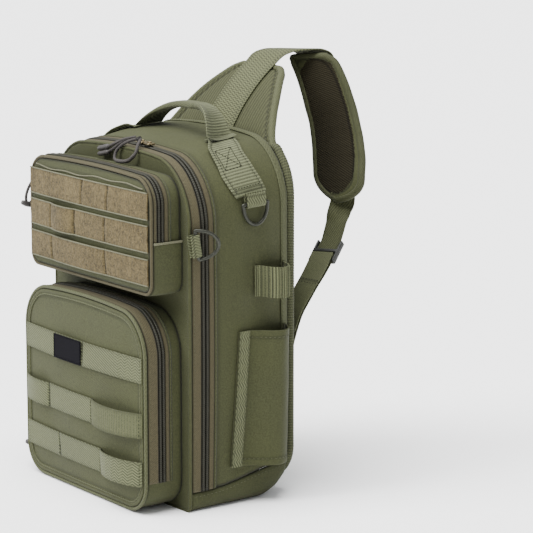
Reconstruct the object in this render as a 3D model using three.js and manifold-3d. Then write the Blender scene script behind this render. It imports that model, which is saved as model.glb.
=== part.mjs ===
import * as THREE from 'three';
import { mergeVertices } from 'three/addons/utils/BufferGeometryUtils.js';
import Module from 'manifold-3d';

const wasm = await Module();
wasm.setup();

// A soft fishing sling backpack, in millimetres. The base lies on Z = 0, the front faces -Y and the
// rod holder is at +X. Every length below can be set by itself.

// Clearances and cloth
const seat = 0.3;               // between two sewn pieces
const cloth = 2;                // coated fabric wall with its lining
const webbing = 1.6;            // thickness of woven webbing
const loopPile = 2.2;           // thickness of the hook-and-loop bands

// Main compartment
const bodyWidth = 250;
const bodyDepth = 116;
const bodySetback = 56;         // from the front edge back to the origin
const bodyHeight = 352;         // top of the arch at its front edge
const bodyRise = 14;            // how much higher the top is at the back
const bodyCornerRadius = 55;
const bodyCrown = 10;           // how much the top bows up in the middle
const sideBulge = 4;            // how much the sides bow out between their seams
const bootHeight = 20;          // seam of the bottom panel, at the front
const bootRise = 16;            // how much higher that seam is at the back
const heelRise = 14;            // how much the bottom lifts at its back edge
const bootRadius = 15;

// Padded back panel and the harness yoke above it
const padThickness = 9;
const padTop = 352;
const padBottom = 24;
const yokeHeight = 71;
const yokeLean = 57;
const yokeHalfWidth = 97;
const yokeThickness = 7;
const yokeWebWidth = 50;

// Main zip
const zipSetback = 2;           // from the front edge to the tape
const zipTapeWidth = 26;
const zipTeethWidth = 6;
const zipThickness = 0.9;
const zipTeethHeight = 2.2;
const zipTeethPlace = 0.48;     // share of the tape's width where the teeth run

// Lower front pocket
const lowerWidth = 224;
const lowerBottom = 3;
const lowerTop = 205;
const lowerDepth = 41;
const lowerTopRadius = 40;
const lowerBottomRadius = 30;
const lowerCrown = 7;
const lowerBulge = 7;
const lowerZipPlace = 0.6;      // share of the depth where the teeth run, from the back

// Upper front pocket
const upperWidth = 224;
const upperBottom = 221;
const upperTop = 337;
const upperDepth = 33;
const upperTopRadius = 24;
const upperBottomRadius = 12;
const upperCrown = 4;
const upperBulge = 4;
const upperZipPlace = 0.74;
const overlayHeight = 51;       // boot round the lower part of the upper pocket

const pipingRadius = 1.8;
const pocketTapeWidth = 15;
const pocketTeethWidth = 5;

// Rows of webbing and loop bands on the pocket faces
const rowHeight = 25;
const rowInset = 3;             // from the pocket's edge to the end of a row
const lowerRowBottoms = [134.5, 79.5, 30.5];
const bandHeight = 27;
const bandInset = 4;            // from the pocket's edge to the end of a band
const bandBottoms = [295, 263, 230];
const labelWidth = 51;
const labelHeight = 25;
const labelCentre = -18.5;
const labelThickness = 1.2;

// Carry handle and the straps down both sides
const handleSpan = 150;
const handleRise = 33;
const handleSetback = 8;        // behind the origin
const handleThickness = 7;
const handleFootWidth = 34;
const strapBack = 33;           // back edge of the side strap
const strapFront = -13;         // front edge of the side strap
const ringWire = 1.8;
const ringWidth = 29;
const ringReach = 21;
const ringTabWidth = 21;
const ringTabLength = 11;
const zipTabCentre = 268;
const zipTabLength = 8;
const zipTabReach = 1;          // how far the tab starts before the body's front edge

// Rod holder on the right side
const loopFront = 16;
const loopBack = 56;
const loopBottom = 205;
const loopHeight = 38;
const loopReach = 24;
const sleeveFront = -8;
const sleeveBack = 57;
const sleeveBottom = 40;
const sleeveHeight = 138;
const sleeveReach = 20;
const sleeveTapeWidth = 12;

// Shoulder strap
const strapReach = 120;         // from the back panel to the farthest point
const strapSpread = 110;        // sideways, to the right
const strapDrop = 145;          // length of the padded part, downwards
const strapApex = 14;           // above the yoke
const strapLowerDrop = 205;     // from the padded part down to the anchor
const strapPadThickness = 9;
const strapWebWidth = 25.4;
const buckleRail = 3.4;
const buckleThickness = 2;
const anchorWidth = 34;
const anchorHeight = 30;

// Zip pulls
const sliderLength = 10;
const sliderWidth = 8;
const sliderHeight = 4;
const pullCord = 1.5;
const pullLength = 38;
const gripLength = 15;
const gripRadius = 3;

// Worked out from the sizes above
const bodyFront = -bodySetback;
const bodyBack = bodyFront + bodyDepth;
const panelBack = bodyFront - seat;
const panelFront = panelBack - cloth;
const padFront = bodyBack + seat;
const padBack = padFront + padThickness;

const olive = { color: 0x6a6c4a, roughness: 0.85, metalness: 0 };
const sage = { color: 0x8c9070, roughness: 0.85, metalness: 0 };
const khaki = { color: 0x7c6c4a, roughness: 0.95, metalness: 0 };
const tapeBrown = { color: 0x6a604a, roughness: 0.8, metalness: 0 };
const darkMesh = { color: 0x38322a, roughness: 0.9, metalness: 0 };
const darkPlastic = { color: 0x323430, roughness: 0.5, metalness: 0 };
const coatedSteel = { color: 0x64685a, roughness: 0.4, metalness: 0.7 };
const brass = { color: 0x9a8a5c, roughness: 0.35, metalness: 0.9 };
const cordGrey = { color: 0x6c6866, roughness: 0.8, metalness: 0 };
const labelBlack = { color: 0x232126, roughness: 0.7, metalness: 0 };

const bag = new THREE.Group();

function place(name, geometry, finish) {
  const mesh = new THREE.Mesh(geometry, new THREE.MeshStandardMaterial(finish));
  mesh.name = name;
  bag.add(mesh);
}

const point = (x, y, z) => new THREE.Vector3(x, y, z);
const clamp = (value, low, high) => Math.min(high, Math.max(low, value));
const spread = (low, high, steps) =>
  Array.from({ length: steps + 1 }, (_, i) => low + (high - low) * i / steps);

// Reads a table whose rows are sorted by one column, with straight lines between the rows.
function readTable(rows, key, value) {
  const last = rows.length - 1;
  const wanted = clamp(value, rows[0][key], rows[last][key]);
  const index = clamp(rows.findIndex((row) => row[key] >= wanted), 1, last);
  const [before, after] = [rows[index - 1], rows[index]];
  const share = (wanted - before[key]) / (after[key] - before[key]);
  return Object.fromEntries(Object.keys(before).map((column) =>
    [column, before[column] + share * (after[column] - before[column])]));
}

// Closed meshes: a list of corners and faces, turned so that the faces point out.
class Solid {
  constructor() {
    this.corners = [];
    this.faces = [];
  }

  add(corner) {
    return this.corners.push(corner) - 1;
  }

  addGrid(rows) {
    return rows.map((row) => row.map((corner) => this.add(corner)));
  }

  quad(a, b, c, d) {
    this.faces.push([a, b, c], [a, c, d]);
  }

  // Faces between neighbouring rows; wrap also joins the last column to the first.
  skin(grid, wrap, inward = false) {
    for (let row = 0; row + 1 < grid.length; row += 1) {
      const columns = grid[row].length;
      for (let column = 0; column < (wrap ? columns : columns - 1); column += 1) {
        const next = (column + 1) % columns;
        const [a, b] = [grid[row][column], grid[row][next]];
        const [c, d] = [grid[row + 1][next], grid[row + 1][column]];
        if (inward) this.quad(d, c, b, a);
        else this.quad(a, b, c, d);
      }
    }
  }

  fan(ring, middle, inward = false) {
    ring.forEach((corner, index) => {
      const next = ring[(index + 1) % ring.length];
      this.faces.push(inward ? [middle, next, corner] : [middle, corner, next]);
    });
  }

  geometry() {
    const volume = this.faces.reduce((sum, [a, b, c]) =>
      sum + this.corners[a].dot(this.corners[b].clone().cross(this.corners[c])), 0);
    const faces = volume < 0 ? this.faces.map(([a, b, c]) => [a, c, b]) : this.faces;
    const geometry = new THREE.BufferGeometry().setFromPoints(this.corners);
    geometry.setIndex(faces.flat());
    geometry.computeVertexNormals();
    return geometry;
  }
}

// A wall between two grids of the same size. wrap closes it into a ring.
function slab(outer, inner, wrap = false) {
  const solid = new Solid();
  const over = solid.addGrid(outer);
  const under = solid.addGrid(inner);
  solid.skin(over, wrap);
  solid.skin(under, wrap, true);
  const last = over.length - 1;
  solid.skin([under[0], over[0]], wrap);
  solid.skin([over[last], under[last]], wrap);
  if (!wrap) {
    const column = (grid, index) => grid.map((row) => row.at(index));
    solid.skin([over, under].map((grid) => column(grid, 0)), false);
    solid.skin([under, over].map((grid) => column(grid, -1)), false);
  }
  return solid.geometry();
}

// A solid through closed sections; loop joins the last section to the first.
function loft(sections, loop = false) {
  const solid = new Solid();
  const grid = solid.addGrid(sections);
  solid.skin(loop ? [...grid, grid[0]] : grid, true);
  if (!loop) {
    const middle = (ring) => ring.reduce((sum, corner) => sum.add(corner), point(0, 0, 0))
      .divideScalar(ring.length);
    solid.fan(grid[0], solid.add(middle(sections[0])), true);
    solid.fan(grid.at(-1), solid.add(middle(sections.at(-1))));
  }
  return solid.geometry();
}

// Joins closed geometries into one body.
function fuse(geometries) {
  const solids = geometries.map((geometry) => {
    const bare = geometry.clone();
    bare.deleteAttribute('normal');
    bare.deleteAttribute('uv');
    const merged = mergeVertices(bare, 1e-4);
    return new wasm.Manifold(new wasm.Mesh({
      numProp: 3,
      vertProperties: new Float32Array(merged.attributes.position.array),
      triVerts: new Uint32Array(merged.index.array),
    }));
  });
  const mesh = solids.reduce((sum, solid) => sum.add(solid)).getMesh();
  const geometry = new THREE.BufferGeometry();
  geometry.setAttribute('position', new THREE.BufferAttribute(mesh.vertProperties, 3));
  geometry.setIndex(new THREE.BufferAttribute(mesh.triVerts, 1));
  geometry.computeVertexNormals();
  return geometry;
}

// Arches and trays
// An arch is a U that opens down (direction 1), a tray one that opens up (direction -1). `fall` is the
// height from its middle to its ends, and a place on it is measured along it from its middle.

function archPoint(along, arch, y, lift = 0) {
  const flat = arch.halfWidth - arch.radius;
  const quarter = arch.radius * Math.PI / 2;
  const reach = Math.abs(along);
  const turn = clamp((reach - flat) / arch.radius, 0, Math.PI / 2);
  const drop = arch.radius * (1 - Math.cos(turn)) + Math.max(0, reach - flat - quarter);
  const bare = Math.min(reach, flat) + arch.radius * Math.sin(turn);
  const outwards = Math.sin(turn);
  const crown = arch.crown * (1 - (bare / arch.halfWidth) ** 2);
  const bulge = arch.bulge * Math.sin(Math.PI * clamp(drop / arch.fall, 0, 1)) * outwards;
  const x = bare + bulge + outwards * lift;
  const z = arch.apex + arch.direction * (crown - drop + Math.cos(turn) * lift);
  return point((along < 0 ? -1 : 1) * x, y, z);
}

function archStations(flatSteps, cornerSteps, sideSteps) {
  const half = [
    ...spread(0, 1, flatSteps).map((share) => ({ part: 'flat', share })),
    ...spread(0, 1, cornerSteps).slice(1).map((share) => ({ part: 'corner', share })),
    ...spread(0, 1, sideSteps).slice(1).map((share) => ({ part: 'side', share })),
  ];
  const left = half.slice(1).reverse().map((station) => ({ ...station, side: -1 }));
  return [...left, ...half.map((station) => ({ ...station, side: 1 }))];
}

function stationAlong({ part, share, side }, arch) {
  const flat = arch.halfWidth - arch.radius;
  const quarter = arch.radius * Math.PI / 2;
  const lengths = {
    flat: share * flat,
    corner: flat + share * quarter,
    side: flat + quarter + share * (arch.fall - arch.radius),
  };
  return side * lengths[part];
}

// Rows along Y, each with the lift of its outer and inner face above the arch.
function archStrip(archAt, rows, stations) {
  const grid = (face) => rows.map((row) => {
    const arch = archAt(row.y);
    return stations.map((station) => archPoint(stationAlong(station, arch), arch, row.y, row[face]));
  });
  return slab(grid('outer'), grid('inner'));
}

// The main compartment's skin
// depth is the share of the body's depth from its front. width and rise shape the arch, full its bulge;
// heel lifts the bottom, seam the boot's seam, and round is the boot's corner.
const bodyRows = [
  { depth: 0, width: 0.99, rise: 0, full: 0.2, heel: 0, seam: 0, round: 0.5 },
  { depth: 0.12, width: 1, rise: 0.05, full: 0.5, heel: 0, seam: 0.03, round: 0.7 },
  { depth: 0.3, width: 1.008, rise: 0.32, full: 0.9, heel: 0, seam: 0.12, round: 0.9 },
  { depth: 0.5, width: 1.012, rise: 0.62, full: 1, heel: 0, seam: 0.4, round: 1 },
  { depth: 0.76, width: 1.006, rise: 0.88, full: 0.85, heel: 0, seam: 0.8, round: 1.1 },
  { depth: 0.9, width: 1, rise: 0.97, full: 0.6, heel: 0.35, seam: 0.93, round: 1.2 },
  { depth: 1, width: 0.985, rise: 1, full: 0.3, heel: 1, seam: 1, round: 1.2 },
];
const bodyDepths = bodyRows.map((row) => bodyFront + row.depth * bodyDepth);
const bodyAt = (y) => readTable(bodyRows, 'depth', (y - bodyFront) / bodyDepth);

function bodyArch(y, endGap = seat / 2) {
  const row = bodyAt(y);
  const apex = bodyHeight - bodyCrown + bodyRise * row.rise;
  return {
    direction: 1,
    halfWidth: bodyWidth / 2 * row.width,
    apex,
    radius: bodyCornerRadius,
    crown: bodyCrown,
    bulge: sideBulge * row.full,
    fall: apex - bootHeight - bootRise * row.seam - endGap,
  };
}

function bodyTray(y) {
  const row = bodyAt(y);
  const apex = heelRise * row.heel;
  const fall = bootHeight + bootRise * row.seam - seat / 2 - apex;
  return {
    direction: -1,
    halfWidth: bodyWidth / 2 * row.width,
    apex,
    radius: Math.min(bootRadius * row.round, fall * 0.9),
    crown: 0,
    bulge: 0,
    fall,
  };
}

// Place along the arch of a point on its straight side, from its height.
function sideAlong(y, z) {
  const arch = bodyArch(y);
  return arch.halfWidth - arch.radius + arch.radius * Math.PI / 2 + arch.apex - arch.radius - z;
}

const sidePoint = (side, y, z, lift) => archPoint(side * sideAlong(y, z), bodyArch(y), y, lift);

const bodyStations = archStations(3, 6, 6);
const trayStations = archStations(3, 3, 1);

const wallRows = bodyDepths.map((y) => ({ y, outer: 0, inner: -cloth }));
place('body_gusset', archStrip(bodyArch, wallRows, bodyStations), olive);
place('base_boot', archStrip(bodyTray, wallRows, trayStations), olive);

function bodyOutline(y, lift) {
  const [arch, tray] = [bodyArch(y), bodyTray(y)];
  const over = bodyStations.map((station) => archPoint(stationAlong(station, arch), arch, y, lift));
  const under = trayStations.map((station) => archPoint(stationAlong(station, tray), tray, y, lift));
  return [...over, ...under.reverse()];
}

const panelOutline = (y) => bodyOutline(bodyFront, 0).map((corner) => corner.setY(y));
place('front_panel', loft([panelOutline(panelBack), panelOutline(panelFront)]), olive);

// Padded back panel and yoke
// A thick sheet that runs up through rows of front points, with chamfered edges.
function sheetSection(y, z, tangent, halfWidth, thickness) {
  const chamfer = Math.min(thickness, halfWidth) * 0.3;
  const normal = point(0, -tangent.z, tangent.y);
  const shape = [
    { across: -1, inset: chamfer, back: 0 }, { across: 1, inset: chamfer, back: 0 },
    { across: 1, inset: 0, back: chamfer }, { across: 1, inset: 0, back: thickness - chamfer },
    { across: 1, inset: chamfer, back: thickness }, { across: -1, inset: chamfer, back: thickness },
    { across: -1, inset: 0, back: thickness - chamfer }, { across: -1, inset: 0, back: chamfer },
  ];
  return shape.map(({ across, inset, back }) =>
    point(across * (halfWidth - inset), y - normal.y * back, z - normal.z * back));
}

const upwards = point(0, 0, 1);
const backArch = bodyArch(bodyBack);

function backHalfWidth(z) {
  const fromTop = clamp(backArch.apex + backArch.crown * 0.5 - z, 0, backArch.radius);
  const fromBottom = clamp(z - padBottom + padThickness / 2, 0, bootRadius * 2);
  const shrink = (radius, distance) => radius - Math.sqrt(radius ** 2 - (radius - distance) ** 2);
  return backArch.halfWidth - shrink(backArch.radius, fromTop) - shrink(bootRadius * 2, fromBottom);
}

const padCornerRows = [0, 0.12, 0.3, 0.55, 1];
const padHeights = [
  ...padCornerRows.map((share) => padBottom + share * 2 * bootRadius),
  (padBottom + padTop) / 2,
  ...spread(backArch.apex - backArch.radius, padTop, 4),
];
place('back_pad', loft(padHeights.map((z) =>
  sheetSection(padFront, z, upwards, backHalfWidth(z), padThickness))), olive);

// rise and lean are shares of the yoke's height and lean, width of its half width, thick of its thickness.
const yokeRows = [
  { rise: 0, lean: 0, width: 1, thick: 0 },
  { rise: 0.127, lean: 0.07, width: 0.92, thick: 0.3 },
  { rise: 0.41, lean: 0.29, width: 0.78, thick: 0.7 },
  { rise: 0.65, lean: 0.53, width: 0.65, thick: 1 },
  { rise: 0.84, lean: 0.76, width: 0.52, thick: 1 },
  { rise: 0.95, lean: 0.92, width: 0.43, thick: 1 },
  { rise: 1, lean: 1, width: 0.33, thick: 1 },
];
const yokeBase = padTop + seat;
const yokePath = yokeRows.map(({ rise, lean }) =>
  point(0, padFront + lean * yokeLean, yokeBase + rise * yokeHeight));
const yokeTop = yokeBase + yokeHeight;

function pathTangents(path) {
  return path.map((_, index) => {
    const before = path[Math.max(0, index - 1)];
    const after = path[Math.min(path.length - 1, index + 1)];
    return after.clone().sub(before).normalize();
  });
}

const yokeTangents = pathTangents(yokePath);
yokeTangents[0] = upwards;
place('yoke_panel', loft(yokeRows.map((row, index) => {
  const thickness = padThickness + row.thick * (yokeThickness - padThickness);
  const { y, z } = yokePath[index];
  return sheetSection(y, z, yokeTangents[index], yokeHalfWidth * row.width, thickness);
})), olive);

// Zips
// A tape with a raised line of teeth, as rows along Y.
function zipRows(start, width, teethAt, teethWidth) {
  const low = seat + zipThickness;
  const high = seat + zipTeethHeight;
  const middle = start + width * teethAt;
  const half = teethWidth / 2;
  return [
    { y: start, outer: low, inner: seat },
    { y: middle - half, outer: low, inner: seat },
    { y: middle - half + 1, outer: high, inner: seat },
    { y: middle + half - 1, outer: high, inner: seat },
    { y: middle + half, outer: low, inner: seat },
    { y: start + width, outer: low, inner: seat },
  ];
}

const mainZipRows = zipRows(bodyFront + zipSetback, zipTapeWidth, zipTeethPlace, zipTeethWidth);
const mainTeethY = bodyFront + zipSetback + zipTapeWidth * zipTeethPlace;
place('main_zip', archStrip(bodyArch, mainZipRows, bodyStations), tapeBrown);

// Pockets
const lowerPocket = {
  halfWidth: lowerWidth / 2,
  top: lowerTop,
  bottom: lowerBottom,
  topRadius: lowerTopRadius,
  bottomRadius: lowerBottomRadius,
  crown: lowerCrown,
  bulge: lowerBulge,
  back: panelFront - seat,
  depth: lowerDepth,
};
const upperPocket = {
  halfWidth: upperWidth / 2,
  top: upperTop,
  bottom: upperBottom,
  topRadius: upperTopRadius,
  bottomRadius: upperBottomRadius,
  crown: upperCrown,
  bulge: upperBulge,
  back: panelFront - seat,
  depth: upperDepth,
};

function pocketArch(pocket, fall = (pocket.top - pocket.crown - pocket.bottom) / 2) {
  return {
    direction: 1,
    halfWidth: pocket.halfWidth,
    apex: pocket.top - pocket.crown,
    radius: pocket.topRadius,
    crown: pocket.crown,
    bulge: 0,
    fall,
  };
}

function pocketTray(pocket, fall = (pocket.top - pocket.crown - pocket.bottom) / 2) {
  return {
    direction: -1,
    halfWidth: pocket.halfWidth,
    apex: pocket.bottom,
    radius: pocket.bottomRadius,
    crown: 0,
    bulge: 0,
    fall,
  };
}

const pocketStations = archStations(3, 5, 1);

function pocketOutline(pocket, y, lift) {
  const [arch, tray] = [pocketArch(pocket), pocketTray(pocket)];
  const over = pocketStations.map((station) => archPoint(stationAlong(station, arch), arch, y, lift));
  const under = pocketStations.slice(1, -1)
    .map((station) => archPoint(stationAlong(station, tray), tray, y, lift));
  return [...over, ...under.reverse()];
}

const faceRim = (pocket) => pocket.back - pocket.depth - seat;

function pocketGusset(pocket) {
  const depths = spread(pocket.back, pocket.back - pocket.depth, 2);
  const grid = (lift) => depths.map((y) => pocketOutline(pocket, y, lift));
  return slab(grid(0), grid(-cloth), true);
}

// Front surface of the bowed face, a smooth cushion over the pocket's outline.
function faceY(pocket, x, z) {
  const middle = (pocket.top + pocket.bottom) / 2;
  const halfHeight = (pocket.top - pocket.bottom) / 2;
  const across = Math.max(0, 1 - (x / pocket.halfWidth) ** 2);
  const upright = Math.max(0, 1 - ((z - middle) / halfHeight) ** 2);
  const fullness = across * upright;
  return faceRim(pocket) - cloth - pocket.bulge * fullness;
}

function pocketFace(pocket) {
  const middle = (pocket.top + pocket.bottom) / 2;
  const inset = -(seat + 2 * pipingRadius) + pipingRadius;
  const outline = pocketOutline(pocket, 0, inset);
  const ring = (share, back) => outline.map((corner) => {
    const x = corner.x * share;
    const z = middle + (corner.z - middle) * share;
    return point(x, faceY(pocket, x, z) + back, z);
  });
  const shares = [1, 0.82, 0.6, 0.35];
  const solid = new Solid();
  const over = solid.addGrid(shares.map((share) => ring(share, 0)));
  const under = solid.addGrid(shares.map((share) => ring(share, cloth)));
  solid.skin(over, true, true);
  solid.skin(under, true);
  solid.skin([over[0], under[0]], true);
  solid.fan(over.at(-1), solid.add(point(0, faceY(pocket, 0, middle), middle)), true);
  solid.fan(under.at(-1), solid.add(point(0, faceY(pocket, 0, middle) + cloth, middle)));
  return solid.geometry();
}

function roundSection(centre, across, out, radius, sides) {
  return Array.from({ length: sides }, (_, index) => {
    const turn = 2 * Math.PI * index / sides;
    return centre.clone().addScaledVector(across, radius * Math.cos(turn))
      .addScaledVector(out, radius * Math.sin(turn));
  });
}

// A closed round wire through points that lie near one plane, whose normal is given.
function wireLoop(path, normal, radius, sides = 6) {
  return loft(path.map((corner, index) => {
    const before = path.at(index - 1);
    const after = path[(index + 1) % path.length];
    const across = after.clone().sub(before).normalize().cross(normal).normalize();
    return roundSection(corner, across, normal, radius, sides);
  }), true);
}

const frontwards = point(0, -1, 0);

function pocketPiping(pocket) {
  const y = faceRim(pocket) - pipingRadius;
  return wireLoop(pocketOutline(pocket, y, 0), frontwards, pipingRadius, 5);
}

function pocketZip(pocket, place, fall) {
  const middle = pocket.back - pocket.depth * place;
  const rows = zipRows(middle - pocketTapeWidth * 0.4, pocketTapeWidth, 0.4, pocketTeethWidth);
  return archStrip(() => pocketArch(pocket, fall), rows, archStations(3, 5, 3));
}

const lowerZipFall = lowerTop - lowerCrown - lowerBottom - lowerBottomRadius;
place('lower_pocket_gusset', pocketGusset(lowerPocket), olive);
place('lower_pocket_face', pocketFace(lowerPocket), olive);
place('lower_pocket_piping', pocketPiping(lowerPocket), sage);
place('lower_pocket_zip', pocketZip(lowerPocket, lowerZipPlace, lowerZipFall), tapeBrown);

const overlayTop = upperBottom + overlayHeight;
const upperZipFall = upperTop - upperCrown - overlayTop - seat;
place('upper_pocket_gusset', pocketGusset(upperPocket), olive);
place('upper_pocket_face', pocketFace(upperPocket), olive);
place('upper_pocket_zip', pocketZip(upperPocket, upperZipPlace, upperZipFall), tapeBrown);

const overlayFront = upperPocket.back - upperPocket.depth + seat;
const overlayRows = [overlayFront, upperPocket.back]
  .map((y) => ({ y, outer: seat + cloth * 0.8, inner: seat }));
const overlayTray = () => pocketTray(upperPocket, overlayHeight);
place('upper_pocket_boot', archStrip(overlayTray, overlayRows, pocketStations), olive);

// Bands across a pocket's face
// dividers are the stitched places across the band, as shares of its half span; between two of them the
// band stands off by its loop, the share given in its row of the table.
function faceBand(pocket, bottom, height, span, thickness, lift, loops, steps = 12) {
  const standOff = (x) => {
    const share = x / (span / 2);
    const loop = loops.find(({ from, to }) => share > from && share < to);
    return loop ? loop.bow * Math.sin(Math.PI * (share - loop.from) / (loop.to - loop.from)) ** 0.7 : 0;
  };
  const columns = spread(-span / 2, span / 2, steps);
  const grid = (back) => spread(bottom, bottom + height, 2).map((z) =>
    columns.map((x) => point(x, faceY(pocket, x, z) - lift - standOff(x) - back, z)));
  return slab(grid(thickness), grid(0));
}

const bandLift = seat + 0.2;
const rowLoops = [
  [],
  [{ from: -1, to: -0.52, bow: 4 }, { from: 0.24, to: 1, bow: 9.5 }],
  [{ from: 0.35, to: 1, bow: 9.5 }],
];
lowerRowBottoms.forEach((bottom, index) => {
  const span = lowerWidth - 2 * rowInset;
  const band = faceBand(lowerPocket, bottom, rowHeight, span, webbing, bandLift, rowLoops[index]);
  place(`webbing_row_${index + 1}`, band, sage);
});

const bandLoops = [
  [],
  [{ from: -0.6, to: -0.17, bow: 3.5 }],
  [{ from: -0.6, to: 0.34, bow: 2 }],
];
bandBottoms.forEach((bottom, index) => {
  const band = faceBand(upperPocket, bottom, bandHeight, upperWidth - 2 * bandInset, loopPile, bandLift,
    bandLoops[index]);
  place(`loop_band_${index + 1}`, band, khaki);
});

function labelPatch() {
  const lift = bandLift + webbing + seat + 0.2;
  const columns = spread(labelCentre - labelWidth / 2, labelCentre + labelWidth / 2, 2);
  const bottom = lowerRowBottoms[0] + (rowHeight - labelHeight) / 2;
  const front = Math.min(...columns.map((x) => faceY(lowerPocket, x, bottom))) - lift;
  const rows = [bottom, bottom + labelHeight];
  const grid = (y) => rows.map((z) => columns.map((x) => point(x, y, z)));
  return slab(grid(front - labelThickness), grid(front));
}
place('label_patch', labelPatch(), labelBlack);

// Straps down the sides
// corner is the share of the body's round corner, front and back the shares of the strap's width.
const strapRows = [
  { corner: 0.13, front: 0.13, back: 0.87 },
  { corner: 0.35, front: 0.02, back: 0.8 },
  { corner: 0.54, front: 0, back: 0.87 },
  { corner: 0.7, front: 0.08, back: 0.95 },
  { corner: 0.82, front: 0.2, back: 1 },
];

function sideStrap(side) {
  const width = strapBack - strapFront;
  const grid = (lift) => strapRows.map((row) =>
    spread(strapFront + row.front * width, strapFront + row.back * width, 3).map((y) => {
      const arch = bodyArch(y);
      const along = stationAlong({ part: 'corner', share: row.corner, side }, arch);
      return archPoint(along, arch, y, lift);
    }));
  return slab(grid(seat + 0.3 + webbing), grid(seat + 0.3));
}

// A webbing tab folded round a ring's bar. It is sewn at `start`; `toward` runs to the fold, `out` away
// from the bag and `along` the bar.
function ringTab({ start, toward, out, along, length, width }) {
  const inner = ringWire + 0.5;
  const outer = inner + webbing * 0.8;
  const turns = spread(-Math.PI / 2, Math.PI / 2, 6);
  const profile = (radius) => [
    { toward: 0, out: outer - radius },
    ...turns.map((turn) => ({
      toward: length + radius * Math.cos(turn),
      out: outer + radius * Math.sin(turn),
    })),
    { toward: 0, out: outer + radius },
  ];
  const grid = (radius) => [-width / 2, width / 2].map((shift) => profile(radius).map((corner) =>
    start.clone().addScaledVector(toward, corner.toward).addScaledVector(out, corner.out)
      .addScaledVector(along, shift)));
  return slab(grid(outer), grid(inner));
}

// The D ring whose bar lies in that tab; `swing` is the way its bow points.
function dRing({ start, toward, out, along, length }, swing) {
  const centre = start.clone().addScaledVector(toward, length)
    .addScaledVector(out, ringWire + 0.5 + webbing * 0.8);
  const bow = spread(-Math.PI / 2, Math.PI / 2, 8).map((turn) =>
    centre.clone().addScaledVector(along, ringWidth / 2 * Math.sin(turn))
      .addScaledVector(swing, ringReach * Math.cos(turn)));
  const normal = swing.clone().cross(along).normalize();
  return wireLoop([...bow, centre.clone()], normal, ringWire);
}

const downwards = point(0, 0, -1);
const backwards = point(0, 1, 0);
for (const [name, side] of [['right', 1], ['left', -1]]) {
  const out = point(side, 0, 0);
  place(`side_strap_${name}`, sideStrap(side), sage);

  const ringY = strapBack - (strapBack - strapFront) * 0.3;
  const arch = bodyArch(ringY);
  const strapEnd = stationAlong({ part: 'corner', share: strapRows.at(-1).corner, side: 1 }, arch);
  const underStrap = archPoint(strapEnd, arch, ringY, 0).z - webbing;
  const hang = {
    start: point(side * (sidePoint(1, ringY, underStrap - ringTabLength, 0).x + seat), ringY, underStrap),
    toward: downwards,
    out,
    along: backwards,
    length: ringTabLength,
    width: ringTabWidth,
  };
  place(`side_ring_tab_${name}`, ringTab(hang), sage);
  place(`side_d_ring_${name}`, dRing(hang, downwards), coatedSteel);

  const tabY = bodyFront - zipTabReach;
  const foldX = sidePoint(1, tabY + zipTabLength, zipTabCentre, zipThickness + 2 * seat).x;
  const stand = {
    start: point(side * foldX, tabY, zipTabCentre),
    toward: backwards,
    out,
    along: upwards,
    length: zipTabLength,
    width: ringTabWidth,
  };
  const swing = point(side * 0.42, 0.91, 0).normalize();
  place(`zip_ring_tab_${name}`, ringTab(stand), sage);
  place(`zip_d_ring_${name}`, dRing(stand, swing), coatedSteel);
}

// Carry handle
// across is the share of the half span, rise of the handle's rise, width of the foot's width.
const handleRows = [
  { across: -1, rise: 0, width: 1 },
  { across: -0.9, rise: 0.2, width: 0.92 },
  { across: -0.74, rise: 0.46, width: 0.78 },
  { across: -0.5, rise: 0.72, width: 0.6 },
  { across: -0.2, rise: 0.92, width: 0.5 },
  { across: 0.15, rise: 1, width: 0.48 },
  { across: 0.48, rise: 0.98, width: 0.5 },
  { across: 0.7, rise: 0.82, width: 0.6 },
  { across: 0.82, rise: 0.56, width: 0.75 },
  { across: 0.9, rise: 0.26, width: 0.9 },
  { across: 0.96, rise: 0, width: 1 },
];

function carryHandle() {
  const handleY = handleSetback;
  const footX = handleSpan / 2;
  const top = (x, y) => archPoint(x, bodyArch(y), y, seat).z;
  const base = top(footX, handleY);
  const path = handleRows.map((row) => point(footX * row.across, handleY, base + handleRise * row.rise));
  const tangents = pathTangents(path);
  const last = path.length - 1;
  return loft(path.map((centre, index) => {
    const { width } = handleRows[index];
    const half = handleFootWidth / 2 * width;
    const thick = webbing + (handleThickness - webbing) * (1 - width) / 0.52;
    const tangent = tangents[index];
    const normal = point(-tangent.z, 0, tangent.x);
    const shape = [[-1, -0.5], [-0.8, -1], [0.8, -1], [1, -0.5], [1, 0.5], [0.8, 1], [-0.8, 1], [-1, 0.5]];
    return shape.map(([across, out]) => {
      const corner = centre.clone().addScaledVector(backwards, across * half)
        .addScaledVector(normal, out * thick / 2);
      if (index === 0 || index === last) corner.setZ(top(corner.x, corner.y) + 0.2);
      return corner;
    });
  }));
}
place('carry_handle', carryHandle(), sage);

// Rod holder
// Rows of a bowed band on the right side: forth is the share of its length along Y, bow of its reach.
const loopRows = [
  { forth: 0, bow: 0 }, { forth: 0.1, bow: 0.02 }, { forth: 0.2, bow: 0.5 }, { forth: 0.36, bow: 0.9 },
  { forth: 0.52, bow: 1 }, { forth: 0.68, bow: 0.9 }, { forth: 0.84, bow: 0.5 }, { forth: 0.93, bow: 0.02 },
  { forth: 1, bow: 0 },
];
const sleeveRows = [
  { forth: 0, bow: 0 }, { forth: 0.2, bow: 0.01 }, { forth: 0.36, bow: 0.36 }, { forth: 0.52, bow: 0.8 },
  { forth: 0.68, bow: 1 }, { forth: 0.84, bow: 0.8 }, { forth: 0.95, bow: 0.3 }, { forth: 1, bow: 0 },
];

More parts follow.
